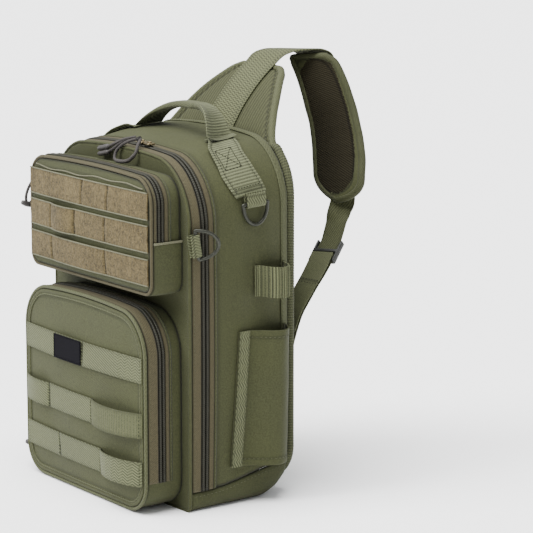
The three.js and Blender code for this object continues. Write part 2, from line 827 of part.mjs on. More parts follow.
function bowedBand(rows, front, back, bottom, height, reach, thickness) {
  const grid = (lift) => spread(bottom, bottom + height, 3).map((z) =>
    rows.map(({ forth, bow }) => {
      const y = front + forth * (back - front);
      return sidePoint(1, y, z, seat + 0.3 + bow * reach + lift);
    }));
  return slab(grid(thickness), grid(0));
}

place('rod_loop', bowedBand(loopRows, loopFront, loopBack, loopBottom, loopHeight, loopReach, cloth), sage);
place('rod_sleeve', bowedBand(sleeveRows, sleeveFront, sleeveBack, sleeveBottom, sleeveHeight, sleeveReach,
  webbing), olive);

const tapeRows = [{ forth: 0, bow: 0 }, { forth: 1, bow: 0 }];
const tapeReach = webbing + seat;
const tapeLift = seat + 0.3 + tapeReach;
const tapeGrid = (lift) => spread(sleeveBottom, sleeveBottom + sleeveHeight, 3).map((z) =>
  tapeRows.map(({ forth }) =>
    sidePoint(1, sleeveFront + forth * sleeveTapeWidth, z, tapeLift + lift)));
place('rod_sleeve_tape', slab(tapeGrid(webbing), tapeGrid(0)), sage);

// Shoulder strap
// The padded part between its two edges. across is a share of the strap's spread, back of its reach
// behind the back panel, and height of its drop below the yoke's top.
const strapPadRows = [
  { inAcross: 0.02, inBack: 0.73, inHeight: -0.03, outAcross: 0.4, outBack: 0.83, outHeight: -0.06 },
  { inAcross: 0.07, inBack: 0.71, inHeight: 0.02, outAcross: 0.49, outBack: 0.88, outHeight: -0.02 },
  { inAcross: 0.14, inBack: 0.715, inHeight: 0.13, outAcross: 0.59, outBack: 0.91, outHeight: 0.1 },
  { inAcross: 0.19, inBack: 0.735, inHeight: 0.28, outAcross: 0.69, outBack: 0.935, outHeight: 0.27 },
  { inAcross: 0.245, inBack: 0.765, inHeight: 0.45, outAcross: 0.79, outBack: 0.93, outHeight: 0.45 },
  { inAcross: 0.31, inBack: 0.76, inHeight: 0.62, outAcross: 0.88, outBack: 0.9, outHeight: 0.62 },
  { inAcross: 0.37, inBack: 0.745, inHeight: 0.77, outAcross: 0.935, outBack: 0.85, outHeight: 0.77 },
  { inAcross: 0.42, inBack: 0.735, inHeight: 0.86, outAcross: 0.95, outBack: 0.82, outHeight: 0.86 },
  { inAcross: 0.52, inBack: 0.72, inHeight: 0.93, outAcross: 0.9, outBack: 0.78, outHeight: 0.94 },
];
const strapPoint = (across, back, height) =>
  point(strapSpread * across, padBack + strapReach * back, yokeTop - strapDrop * height);

const padEdges = strapPadRows.map((row) => ({
  inside: strapPoint(row.inAcross, row.inBack, row.inHeight),
  outside: strapPoint(row.outAcross, row.outBack, row.outHeight),
}));
const padCentres = padEdges.map(({ inside, outside }) => inside.clone().add(outside).multiplyScalar(0.5));
const padTangents = pathTangents(padCentres);
const padNormals = padEdges.map(({ inside, outside }, index) =>
  outside.clone().sub(inside).normalize().cross(padTangents[index]).normalize());

place('shoulder_pad', loft(padEdges.map(({ inside, outside }, index) => {
  const half = outside.clone().sub(inside).multiplyScalar(0.5);
  const shape = [
    [-1, -0.4], [-0.88, -1], [0.88, -1], [1, -0.4],
    [1, 0.4], [0.88, 1], [-0.88, 1], [-1, 0.4],
  ];
  return shape.map(([across, out]) => padCentres[index].clone().addScaledVector(half, across)
    .addScaledVector(padNormals[index], out * strapPadThickness / 2));
})), darkMesh);

// A flat strap through stations of a centre and a direction across.
function flatStrap(stations, width, thickness) {
  const tangents = pathTangents(stations.map(({ centre }) => centre));
  return loft(stations.map(({ centre, across }, index) => {
    const level = across.clone().addScaledVector(tangents[index], -across.dot(tangents[index])).normalize();
    const normal = level.clone().cross(tangents[index]).normalize();
    return [[-1, -1], [1, -1], [1, 1], [-1, 1]].map(([side, out]) => centre.clone()
      .addScaledVector(level, side * width / 2).addScaledVector(normal, out * thickness / 2));
  }));
}

const rightwards = point(1, 0, 0);
const onYoke = yokeRows.slice(1).map((_, index) => {
  const tangent = yokeTangents[index + 1];
  const lift = seat + webbing / 2;
  return {
    centre: yokePath[index + 1].clone().add(point(0, -tangent.z * lift, tangent.y * lift)),
    across: rightwards,
  };
});
// Over the top, from the yoke to the padded part: across and back as above, apex a share of its height.
const apexRows = [
  { across: 0.01, back: 0.48, apex: 0.68 },
  { across: 0.03, back: 0.585, apex: 0.97 },
  { across: 0.08, back: 0.69, apex: 1.03 },
  { across: 0.14, back: 0.795, apex: 1 },
  { across: 0.21, back: 0.87, apex: 0.66 },
  { across: 0.27, back: 0.868, apex: 0.05 },
];
const overTop = apexRows.map((row, index) => {
  const turn = (index + 1) / apexRows.length;
  const across = padEdges[0].outside.clone().sub(padEdges[0].inside).normalize();
  return {
    centre: strapPoint(row.across, row.back, 0).add(point(0, 0, strapApex * row.apex)),
    across: rightwards.clone().lerp(across, turn),
  };
});
const onPad = [2, 3].map((index) => ({
  centre: padCentres[index].clone()
    .addScaledVector(padNormals[index], strapPadThickness / 2 + 4 * seat + webbing / 2),
  across: padEdges[index].outside.clone().sub(padEdges[index].inside),
}));
place('yoke_webbing', flatStrap([...onYoke, ...overTop, ...onPad], yokeWebWidth, webbing), sage);

// Webbing from the padded part down to the back panel's lower corner: across and back as above, fall a
// share of the lower drop.
const lowerRows = [
  { across: 0.735, back: 0.735, fall: 0.015, turn: 0.1 },
  { across: 0.755, back: 0.705, fall: 0.06, turn: 0.12 },
  { across: 0.785, back: 0.67, fall: 0.115, turn: 0.2 },
  { across: 0.84, back: 0.58, fall: 0.205, turn: 0.3 },
  { across: 0.91, back: 0.405, fall: 0.31, turn: 0.3 },
  { across: 0.955, back: 0.225, fall: 0.42, turn: 0.2 },
  { across: 0.95, back: 0.11, fall: 0.53, turn: 0.1 },
  { across: 0.91, back: 0.06, fall: 0.68, turn: 0 },
  { across: 0.87, back: 0.045, fall: 0.85, turn: 0 },
  { across: 0.85, back: 0.035, fall: 1, turn: 0 },
];
const padEnd = yokeTop - strapDrop * 0.935;
const lowerStations = lowerRows.map((row) => ({
  centre: point(
    strapSpread * row.across,
    padBack + strapReach * row.back,
    padEnd - strapLowerDrop * row.fall,
  ),
  across: point(Math.cos(row.turn), Math.sin(row.turn), 0),
}));
place('strap_webbing', flatStrap(lowerStations, strapWebWidth, webbing), olive);

// The strap's lower end is sewn to a patch on the back panel.
function strapAnchor() {
  const { centre } = lowerStations.at(-1);
  const back = centre.y - webbing / 2 - seat;
  const front = padBack + seat;
  const grid = (y) => [centre.z, centre.z + anchorHeight].map((z) =>
    [centre.x - anchorWidth / 2, centre.x + anchorWidth / 2].map((x) => point(x, y(z), z)));
  const above = lowerStations.at(-2).centre;
  const slope = (above.y - centre.y) / (above.z - centre.z);
  return slab(grid((z) => Math.min(back, back + slope * (z - centre.z))), grid(() => front));
}
place('strap_anchor', strapAnchor(), olive);

// The strap's slider: two rails and three bars, with the strap between its front and back bars.
function triGlide() {
  const station = lowerStations[3];
  const tangent = pathTangents(lowerStations.map(({ centre }) => centre))[3];
  const level = station.across.clone().addScaledVector(tangent, -station.across.dot(tangent)).normalize();
  const normal = level.clone().cross(tangent).normalize();
  const turn = new THREE.Matrix4().makeBasis(level, tangent, normal).setPosition(station.centre);
  const offset = webbing / 2 + seat * 2 + buckleThickness / 2;
  const length = 24;
  const railX = strapWebWidth / 2 + seat * 2 + buckleRail / 2;
  const railDepth = 2 * offset + buckleThickness;
  const bars = [
    { x: -railX, y: 0, z: 0, wide: buckleRail, long: length, deep: railDepth },
    { x: railX, y: 0, z: 0, wide: buckleRail, long: length, deep: railDepth },
    { x: 0, y: -length / 2 + 2, z: offset, wide: 2 * railX, long: 4, deep: buckleThickness },
    { x: 0, y: length / 2 - 2, z: offset, wide: 2 * railX, long: 4, deep: buckleThickness },
    { x: 0, y: 0, z: -offset, wide: 2 * railX, long: 4, deep: buckleThickness },
  ];
  return fuse(bars.map(({ x, y, z, wide, long, deep }) =>
    new THREE.BoxGeometry(wide, long, deep).translate(x, y, z).applyMatrix4(turn)));
}
place('tri_glide', triGlide(), darkPlastic);

// Zip pulls
// A slider is a small block on the teeth; its pull is a cord loop with a moulded grip at its far end.
function slider(centre, along, out) {
  const turn = new THREE.Matrix4().makeBasis(along, out.clone().cross(along), out)
    .setPosition(centre.clone().addScaledVector(out, sliderHeight / 2));
  return new THREE.BoxGeometry(sliderLength, sliderWidth, sliderHeight).applyMatrix4(turn);
}

function cordPull(start, direction, normal, length) {
  const side = direction.clone().cross(normal).normalize();
  const shape = [
    [0, 0], [0.2, 0.09], [0.5, 0.16], [0.8, 0.14],
    [1, 0], [0.8, -0.14], [0.5, -0.16], [0.2, -0.09],
  ];
  const path = shape.map(([forth, across]) => start.clone().addScaledVector(direction, forth * length)
    .addScaledVector(side, across * length));
  const end = start.clone().addScaledVector(direction, length);
  const grip = [-gripLength / 2, gripLength / 2].map((shift) =>
    roundSection(end.clone().addScaledVector(side, shift), direction, normal, gripRadius, 8));
  return fuse([wireLoop(path, normal, pullCord), loft(grip)]);
}

const teethLift = seat + zipTeethHeight + seat;
const topSliders = [
  { name: 'main_zip_slider_right', pull: 'main_zip_pull_right', x: 31, to: point(-0.3, -0.86, -0.4) },
  { name: 'main_zip_slider_left', pull: 'main_zip_pull_left', x: 18, to: point(-0.95, -0.3, 0) },
];
topSliders.forEach(({ name, pull, x, to }, index) => {
  const base = archPoint(x, bodyArch(mainTeethY), mainTeethY, teethLift + 0.3);
  place(name, slider(base, rightwards, upwards), brass);
  const gap = pullCord + seat;
  const start = base.clone().add(index
    ? point(-sliderLength / 2 - gap, 0, sliderHeight / 2 + gap)
    : point(-sliderLength / 4, -sliderWidth / 2 - gap, sliderHeight / 2 + gap));
  const direction = to.clone().normalize();
  const sideways = rightwards.clone().cross(direction).length() > 0.5 ? rightwards : backwards;
  const normal = direction.clone().cross(sideways).normalize();
  place(pull, cordPull(start, direction, normal, pullLength), cordGrey);
});

const upperPullHeight = upperTop - upperTopRadius - upperCrown;
const lowerPullHeight = lowerBottom + lowerBottomRadius + sliderLength * 2;
const sidePulls = [
  { pocket: upperPocket, at: upperZipPlace, height: upperPullHeight, name: 'upper' },
  { pocket: lowerPocket, at: lowerZipPlace, height: lowerPullHeight, name: 'lower' },
];
sidePulls.forEach(({ pocket, at, height, name }) => {
  const y = pocket.back - pocket.depth * at;
  const leftwards = point(-1, 0, 0);
  const base = point(-pocket.halfWidth - teethLift, y, height);
  place(`${name}_zip_slider`, slider(base, upwards, leftwards), brass);
  const start = base.clone().add(point(-sliderHeight - pullCord - seat, 0, 0));
  const direction = point(-0.1, -0.3, -1).normalize();
  place(`${name}_zip_pull`, cordPull(start, direction, leftwards, pullLength * 0.8), cordGrey);
});

export default bag;
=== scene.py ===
"""A soft fishing sling backpack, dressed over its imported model: cloth, webbing, zips, rings and pads.

Lengths are in millimetres in the classes and become metres when a piece is made. The base lies on Z = 0,
the front faces -Y and the rod holder is at +X.
"""

import logging
import math
import sys
from collections.abc import Callable, Sequence
from dataclasses import dataclass
from enum import Enum
from functools import lru_cache

import bmesh
import bpy
from mathutils import Matrix, Vector, noise


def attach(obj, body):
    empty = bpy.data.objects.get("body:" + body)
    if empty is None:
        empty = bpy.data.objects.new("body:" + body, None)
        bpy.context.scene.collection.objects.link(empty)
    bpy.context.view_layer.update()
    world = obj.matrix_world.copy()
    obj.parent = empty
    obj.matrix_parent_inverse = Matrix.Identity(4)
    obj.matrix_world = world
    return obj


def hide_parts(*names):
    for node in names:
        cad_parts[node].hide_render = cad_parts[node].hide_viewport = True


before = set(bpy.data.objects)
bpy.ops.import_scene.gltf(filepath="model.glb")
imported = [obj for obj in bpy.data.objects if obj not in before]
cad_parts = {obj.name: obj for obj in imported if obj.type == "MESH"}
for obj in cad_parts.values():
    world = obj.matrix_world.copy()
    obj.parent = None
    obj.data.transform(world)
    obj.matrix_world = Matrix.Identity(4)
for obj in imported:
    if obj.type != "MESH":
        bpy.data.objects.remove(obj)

log = logging.getLogger("bag")
MM = 0.001
# gap between a piece and what it lies on
SEAT = 0.3
# thickness of body cloth and of webbing
CLOTH = 2.0
WEBBING = 1.6
# corners closer than this, in metres, become one
MERGE = 2e-6
# side of the square photo, in pixels
PHOTO_SIDE = 533
RIGHT, BACK, UP = Vector((1, 0, 0)), Vector((0, 1, 0)), Vector((0, 0, 1))

Place = Callable[[float, float], Vector]
Cloth = tuple[float, float] | Callable[[float, float], tuple[float, float]]


def clamp(value: float, low: float, high: float) -> float:
    """Returns the value, kept between low and high."""
    return min(high, max(low, value))


def bump_at(value: float, centre: float, width: float) -> float:
    """Returns 1 at the centre, falling smoothly to 0 about two widths away."""
    return math.exp(-(((value - centre) / width) ** 2))


def rib_at(turns: float) -> float:
    """Returns a wave from 0 up to 1 and back, once for each whole turn."""
    return 0.5 - 0.5 * math.cos(math.tau * turns)


def even(low: float, high: float, steps: int) -> list[float]:
    """Returns values evenly spaced from low to high, both included."""
    return [low + (high - low) * i / steps for i in range(steps + 1)]


def boxy(share: float, power_across: float, power_out: float) -> tuple[float, float]:
    """Returns a place round a squared-off section.

    Args:
        share: of the way round.
        power_across: how square it is at its sides; 1 is round and less is squarer.
        power_out: the same for its front and back.

    Returns:
        The place across and out, each from -1 to 1.
    """
    across, out = math.cos(math.tau * share), math.sin(math.tau * share)
    return math.copysign(abs(across) ** power_across, across), math.copysign(abs(out) ** power_out, out)


def read_smooth(rows: Sequence[Sequence[float]], at: float) -> list[float]:
    """Reads a table that is sorted by its first column, with smooth curves between its rows.

    Args:
        rows: the table's rows.
        at: the value looked up in the first column.

    Returns:
        The other columns at that place.
    """
    keys = [row[0] for row in rows]
    at = clamp(at, keys[0], keys[-1])
    index = max(i for i in range(len(rows) - 1) if keys[i] <= at)
    step = keys[index + 1] - keys[index]
    share = (at - keys[index]) / step
    steps = [keys[i + 1] - keys[i] for i in range(len(rows) - 1)]
    values = []
    for column in range(1, len(rows[0])):
        rates = [(rows[i + 1][column] - rows[i][column]) / steps[i] for i in range(len(steps))]
        slopes = [rates[0]]
        for before, after in zip(rates, rates[1:]):
            slopes.append(0.0 if before * after <= 0 else 2 * before * after / (before + after))
        slopes.append(rates[-1])
        low, high = rows[index][column], rows[index + 1][column]
        a = (1 + 2 * share) * (1 - share) ** 2 * low + share * share * (3 - 2 * share) * high
        b = share * (1 - share) ** 2 * step * slopes[index]
        c = share * share * (share - 1) * step * slopes[index + 1]
        values.append(a + b + c)
    return values


@dataclass
class Route:
    """A smooth line through points, read by its share of length."""

    points: list[Vector]
    closed: bool = False

    def __post_init__(self) -> None:
        """Measures where each point lies along the line."""
        stops = self.points + ([self.points[0]] if self.closed else [])
        self.marks = [0.0]
        for before, after in zip(stops, stops[1:]):
            self.marks.append(self.marks[-1] + (after - before).length)
        self.stops = stops
        self.length = self.marks[-1]

    def _slope(self, index: int) -> Vector:
        """Returns the direction at one of the points."""
        last = len(self.stops) - 1
        if self.closed and index in (0, last):
            rise = self.stops[1] - self.stops[-2]
            return rise / (self.marks[1] + self.marks[-1] - self.marks[-2])
        low, high = max(0, index - 1), min(last, index + 1)
        return (self.stops[high] - self.stops[low]) / (self.marks[high] - self.marks[low])

    def at(self, share: float) -> Vector:
        """Returns the point at a share of the length."""
        reach = clamp(share, 0, 1) * self.length
        index = max(i for i in range(len(self.marks) - 1) if self.marks[i] <= reach + 1e-9)
        step = self.marks[index + 1] - self.marks[index]
        t = (reach - self.marks[index]) / step
        a = self.stops[index] * ((1 + 2 * t) * (1 - t) ** 2) + self.stops[index + 1] * (t * t * (3 - 2 * t))
        b = self._slope(index) * (t * (1 - t) ** 2 * step)
        c = self._slope(index + 1) * (t * t * (t - 1) * step)
        return a + b + c

    def tangent(self, share: float) -> Vector:
        """Returns the unit direction at a share of the length."""
        if self.closed:
            return (self.at((share + 0.004) % 1) - self.at((share - 0.004) % 1)).normalized()
        return (self.at(min(1, share + 0.004)) - self.at(max(0, share - 0.004))).normalized()


@dataclass
class Ribbon:
    """A flat strap: a middle line and a direction across it, both smooth."""

    centres: list[Vector]
    acrosses: list[Vector]
    square: bool = True

    def __post_init__(self) -> None:
        """Lays the middle line."""
        self.line = Route(self.centres)
        self.length = self.line.length

    def at(self, share: float) -> tuple[Vector, Vector, Vector]:
        """Returns the centre, the unit direction across and the unit normal at a share of the length."""
        reach = clamp(share, 0, 1) * self.length
        marks = self.line.marks
        index = max(i for i in range(len(marks) - 1) if marks[i] <= reach + 1e-9)
        t = (reach - marks[index]) / (marks[index + 1] - marks[index])
        t = t * t * (3 - 2 * t)
        across = self.acrosses[index].lerp(self.acrosses[index + 1], t)
        tangent = self.line.tangent(share)
        level = (across - tangent * (across.dot(tangent) if self.square else 0)).normalized()
        return self.line.at(share), level, level.cross(tangent).normalized()


class Socket:
    """A shader value, with arithmetic on it."""

    def __init__(self, shader: "Shader", socket: bpy.types.NodeSocket) -> None:
        """Keeps the shader and the socket that gives the value."""
        self.shader = shader
        self.socket = socket

    def _maths(self, operation: str, first: "Socket | float",
               second: "Socket | float | None" = None) -> "Socket":
        """Adds one Math node and returns its value."""
        inputs = {0: first} if second is None else {0: first, 1: second}
        return self.shader.node("ShaderNodeMath", {"operation": operation}, inputs)

    def __add__(self, other: "Socket | float") -> "Socket":
        """Returns the sum."""
        return self._maths("ADD", self, other)

    __radd__ = __add__

    def __sub__(self, other: "Socket | float") -> "Socket":
        """Returns the difference."""
        return self._maths("SUBTRACT", self, other)

    def __mul__(self, other: "Socket | float") -> "Socket":
        """Returns the product."""
        return self._maths("MULTIPLY", self, other)

    def sine(self) -> "Socket":
        """Returns the sine."""
        return self._maths("SINE", self)

    def least(self, other: float) -> "Socket":
        """Returns the smaller of the two."""
        return self._maths("MINIMUM", self, other)

    def zigzag(self, pitch: float) -> "Socket":
        """Returns the value folded back and forth between 0 and the pitch."""
        return self._maths("PINGPONG", self, pitch)


class Shader:
    """The nodes of one material."""

    def __init__(self, name: str) -> None:
        """Starts a material with its one surface shader."""
        self.material = bpy.data.materials.new(name)
        self.material.use_nodes = True
        self.tree = self.material.node_tree
        self.surface = self.tree.nodes["Principled BSDF"]

    def node(self, kind: str, settings: dict | None = None, inputs: dict | None = None,
             output: int | str = 0) -> Socket:
        """Adds a node.

        Args:
            kind: the node's type.
            settings: its properties, set first.
            inputs: values or links by socket name or number.
            output: which of its outputs is wanted.

        Returns:
            The wanted output as a value.
        """
        made = self.tree.nodes.new(kind)
        for key, value in (settings or {}).items():
            setattr(made, key, value)
        for key, value in (inputs or {}).items():
            self.feed(made.inputs[key], value)
        return Socket(self, made.outputs[output])

    def feed(self, target: bpy.types.NodeSocket, value: object) -> None:
        """Links a value to a socket, or sets a constant on it."""
        if isinstance(value, Socket):
            self.tree.links.new(value.socket, target)
        else:
            target.default_value = value

    def cloth_place(self) -> tuple[Socket, Socket]:
        """Returns the place along and across the cloth, in millimetres."""
        uv = self.node("ShaderNodeTexCoord", output="UV")
        scaled = self.node("ShaderNodeVectorMath", {"operation": "SCALE"}, {0: uv, "Scale": 1 / MM})
        parts = self.node("ShaderNodeSeparateXYZ", None, {0: scaled})
        return parts, Socket(self, parts.socket.node.outputs[1])

    def grain(self, scale: float, detail: float = 2.0) -> Socket:
        """Returns noise fixed to the object, with `scale` lumps to the metre."""
        place = self.node("ShaderNodeTexCoord", output="Object")
        return self.node("ShaderNodeTexNoise", None, {"Vector": place, "Scale": scale, "Detail": detail})

    def attribute(self, name: str) -> Socket:
        """Returns a value stored on the mesh, such as the painted shade in seams, grooves and gaps."""
        return self.node("ShaderNodeAttribute", {"attribute_name": name}, output="Fac")

    def blend(self, factor: Socket | float, first: object, second: object) -> Socket:
        """Returns a colour between two colours."""
        return self.node("ShaderNodeMix", {"data_type": "RGBA"}, {0: factor, 6: first, 7: second}, output=2)

    def span(self, value: Socket, low: float, high: float) -> Socket:
        """Returns the value's place between low and high, from 0 to 1."""
        return self.node("ShaderNodeMapRange", None, {0: value, 1: low, 2: high})

    def relief(self, height: Socket, depth: float) -> None:
        """Gives the surface a relief, in millimetres deep."""
        inputs = {"Height": height, "Distance": depth * MM, "Strength": 1.0}
        normal = self.node("ShaderNodeBump", None, inputs)
        self.feed(self.surface.inputs["Normal"], normal)

    def look(self, **values: object) -> None:
        """Feeds the surface's sockets, each named in lower case."""
        for key, value in values.items():
            self.feed(self.surface.inputs[key.replace("_", " ").title().replace("Ior", "IOR")], value)


Colour = tuple[float, float, float]


def opaque(colour: Colour, share: float = 1.0) -> tuple[float, float, float, float]:
    """Returns a colour, made darker or lighter by a share, with full alpha."""
    return (colour[0] * share, colour[1] * share, colour[2] * share, 1.0)


class Thread(Enum):
    """How the threads of a woven cloth cross."""

    PLAIN = "plain"
    TWILL = "twill"
    CHEVRON = "chevron"
    WAVY = "wavy"
    RIBS = "ribs"


@dataclass(frozen=True)
class Woven:
    """Woven cloth or webbing: fabric, straps, tape and binding."""

    name: str
    colour: Colour
    threads: Thread
    pitch: float = 1.2
    contrast: float = 0.25
    depth: float = 0.12
    grain: float = 0.7
    mottle: float = 0.1
    roughness: float = 0.75
    sheen: float = 0.035
    shine: float = 0.15

    def _pattern(self, shader: Shader) -> Socket:
        """Returns the height of the threads, from 0 to 1."""
        along, across = shader.cloth_place()
        turn = math.tau / self.pitch
        if self.threads is Thread.PLAIN:
            wave = (along * (turn * 0.55)).sine() * (across * turn).sine()
        elif self.threads is Thread.TWILL:
            wave = ((along * 0.45 + across) * turn).sine()
        elif self.threads is Thread.CHEVRON:
            fold = along.zigzag(self.pitch * 2)
            wave = ((fold * 0.6 + across) * turn).sine() * ((along * (turn * 0.25)).sine() * 0.3 + 0.7)
        elif self.threads is Thread.WAVY:
            fold = (across * (turn * 0.42)).sine() * (self.pitch * 0.3)
            wave = ((along + fold) * turn).sine()
        else:
            wave = (along * turn).sine() * ((across * (turn * 1.3)).sine() * 0.25 + 0.75)
        return wave * 0.5 + 0.5

    def make(self) -> bpy.types.Material:
        """Returns the material."""
        shader = Shader(self.name)
        pattern = self._pattern(shader)
        speck = shader.grain(720.0, 3.0)
        broad = shader.grain(16.0, 2.0)
        # painted shade: the colour darkens to a sixth of itself where the mesh's stored shade value is high,
        # in seams and grooves
        seam_and_painted_shade = shader.attribute("seam_and_painted_shade").least(1.0)
        lit = pattern * self.contrast + speck * self.grain + broad * self.mottle * 2
        middle = (self.contrast + self.grain) * 0.5 + self.mottle
        tone = shader.span(lit, middle - 0.35, middle + 0.35)
        colour = shader.blend(tone, opaque(self.colour, 0.5), opaque(self.colour, 1.5))
        colour = shader.blend(seam_and_painted_shade, colour, opaque(self.colour, 0.16))
        shader.look(base_color=colour, roughness=self.roughness - 0.08 + broad * 0.16,
                    sheen_weight=self.sheen, sheen_roughness=0.5, specular_ior_level=self.shine)
        shader.relief(pattern * 0.8 + speck * 0.5, self.depth)
        return shader.material


@dataclass(frozen=True)
class Pile:
    """Hook-and-loop pile, a dense mat of fine loops."""

    name: str
    colour: Colour
    light: Colour
    depth: float = 0.7

    def make(self) -> bpy.types.Material:
        """Returns the material."""
        shader = Shader(self.name)
        loops = shader.grain(620.0, 4.0)
        tufts = shader.grain(210.0, 2.0)
        broad = shader.grain(20.0, 2.0)
        # painted shade: the colour darkens to a fifth of itself by the mesh's stored shade value, at dividers
        # and edges
        seam_and_painted_shade = shader.attribute("seam_and_painted_shade").least(1.0)
        tone = shader.span(loops * 0.6 + tufts * 0.3 + broad * 0.25, 0.42, 0.74)
        colour = shader.blend(tone, opaque(self.colour, 0.55), opaque(self.light))
        colour = shader.blend(seam_and_painted_shade, colour, opaque(self.colour, 0.2))
        shader.look(base_color=colour, roughness=0.86 + tufts * 0.1, sheen_weight=0.05, sheen_roughness=0.6,
                    specular_ior_level=0.1)
        shader.relief(loops + tufts * 0.5, self.depth)
        return shader.material


@dataclass(frozen=True)
class SpacerMesh:
    """Knitted lining with a lattice of small holes."""

    name: str
    colour: Colour
    light: Colour
    pitch: float = 2.6

    def make(self) -> bpy.types.Material:
        """Returns the material."""
        shader = Shader(self.name)
        along, across = shader.cloth_place()
        turn = math.tau / self.pitch
        first = ((across - along * 0.4) * turn).sine()
        second = ((across + along * 0.6) * turn).sine()
        knit = first * 0.35 + first * second * 0.15 + 0.5
        speck = shader.grain(800.0, 2.0)
        broad = shader.grain(18.0, 2.0)
        # painted shade: the colour darkens by the mesh's stored shade value, in sewn channels and at edges
        seam_and_painted_shade = shader.attribute("seam_and_painted_shade").least(1.0)
        tone = shader.span(knit * 0.7 + speck * 0.3 + broad * 0.2, 0.3, 0.85)
        colour = shader.blend(tone, opaque(self.colour), opaque(self.light))
        colour = shader.blend(seam_and_painted_shade, colour, opaque(self.colour, 0.3))
        shader.look(base_color=colour, roughness=0.8 + broad * 0.15, sheen_weight=0.015,
                    specular_ior_level=0.1)
        shader.relief(knit, 0.45)
        return shader.material


@dataclass(frozen=True)
class Solid:
    """Smooth matter, such as painted metal, plastic or rubber, with fine wear."""

    name: str
    colour: Colour
    worn: Colour
    roughness: float = 0.45
    metallic: float = 0.0
    grain: float = 0.03

    def make(self) -> bpy.types.Material:
        """Returns the material."""
        shader = Shader(self.name)
        fine = shader.grain(700.0, 3.0)
        broad = shader.grain(60.0, 3.0)
        wear = shader.span(fine * 0.5 + broad * 0.5, 0.5, 0.75)
        colour = shader.blend(wear, opaque(self.colour), opaque(self.worn))
        shader.look(base_color=colour, roughness=self.roughness - 0.1 + broad * 0.2, metallic=self.metallic,
                    specular_ior_level=0.3)
        shader.relief(fine, self.grain)
        return shader.material


SAGE = (0.066, 0.0715, 0.0365)
FABRIC = Woven("olive_nylon", (0.0333, 0.0361, 0.0142), Thread.PLAIN, 1.2, 0.2, 0.12, grain=0.8)
RIB_FABRIC = Woven("ribbed_olive_nylon", (0.0333, 0.0356, 0.015), Thread.RIBS, 4.0, 0.6, 0.35)
BINDING = Woven("binding_tape", (0.0489, 0.0528, 0.025), Thread.TWILL, 2.0, 0.3, 0.15)
PAD_BINDING = Woven("pad_binding", (0.031, 0.0335, 0.0145), Thread.TWILL, 2.0, 0.3, 0.15)
EDGE = Woven("light_edge", (0.09, 0.089, 0.055), Thread.TWILL, 1.6, 0.3, 0.1)
STRAP = Woven("sage_webbing", SAGE, Thread.TWILL, 2.7, 0.6, 0.3)
LOOPS = Woven("ribbed_webbing", (0.0694, 0.075, 0.0367), Thread.RIBS, 3.4, 0.7, 0.3)
CHEVRONS = Woven("chevron_webbing", SAGE, Thread.CHEVRON, 2.9, 1.0, 0.35)
RIDGES = Woven("ridged_webbing", (0.075, 0.081, 0.044), Thread.RIBS, 2.9, 0.8, 0.35)
WAVES = Woven("wavy_webbing", (0.0583, 0.0628, 0.03), Thread.WAVY, 3.2, 0.8, 0.4)
DARK_STRAP = Woven("olive_strap", (0.0344, 0.0372, 0.0156), Thread.TWILL, 2.7, 0.5, 0.3)
ZIP_TAPE = Woven("zip_tape", (0.0472, 0.0411, 0.0211), Thread.TWILL, 1.0, 0.22, 0.08)
COIL = Woven("zip_coil", (0.0278, 0.0272, 0.0194), Thread.PLAIN, 1.1, 0.1, roughness=0.5, sheen=0.0)
THREAD = Woven("sewing_thread", (0.0556, 0.06, 0.0306), Thread.TWILL, 0.6, 0.2, 0.05)
DARK_THREAD = Woven("dark_thread", (0.00889, 0.00944, 0.005), Thread.TWILL, 0.6, 0.2, 0.05)
CORD = Woven("pull_cord", (0.038, 0.034, 0.032), Thread.TWILL, 1.3, 0.5, 0.2)
LOOP_PILE = Pile("loop_pile", (0.0456, 0.0333, 0.0122), (0.111, 0.0844, 0.0367))
LINING = SpacerMesh("mesh_lining", (0.005, 0.00433, 0.00194), (0.0189, 0.0161, 0.00778))
BACK_MESH = SpacerMesh("back_mesh", (0.0144, 0.0156, 0.00722), (0.0472, 0.05, 0.0233), pitch=3.2)
STEEL = Solid("coated_steel", (0.02, 0.021, 0.0155), (0.05, 0.052, 0.04), 0.36, metallic=0.5)
BRASS = Solid("antique_brass", (0.233, 0.189, 0.106), (0.333, 0.289, 0.183), 0.32, metallic=0.9)
PLASTIC = Solid("buckle_plastic", (0.00778, 0.00833, 0.00667), (0.0133, 0.0139, 0.0111), 0.5, grain=0.06)
GRIP = Solid("grip_rubber", (0.0389, 0.0356, 0.0344), (0.0611, 0.0556, 0.0533), 0.55, grain=0.05)
LABEL = Woven("label_cloth", (0.00389, 0.00361, 0.005), Thread.TWILL, 1.0, 0.2, 0.08, sheen=0.0, shine=0.04)
FLOOR = Solid("pale_floor", (0.9, 0.9, 0.9), (0.92, 0.92, 0.92), 0.8, grain=0.0)

Finish = Woven | Pile | SpacerMesh | Solid


@lru_cache(maxsize=None)
def material(finish: Finish) -> bpy.types.Material:
    """Returns a finish's material, made once."""
    return finish.make()


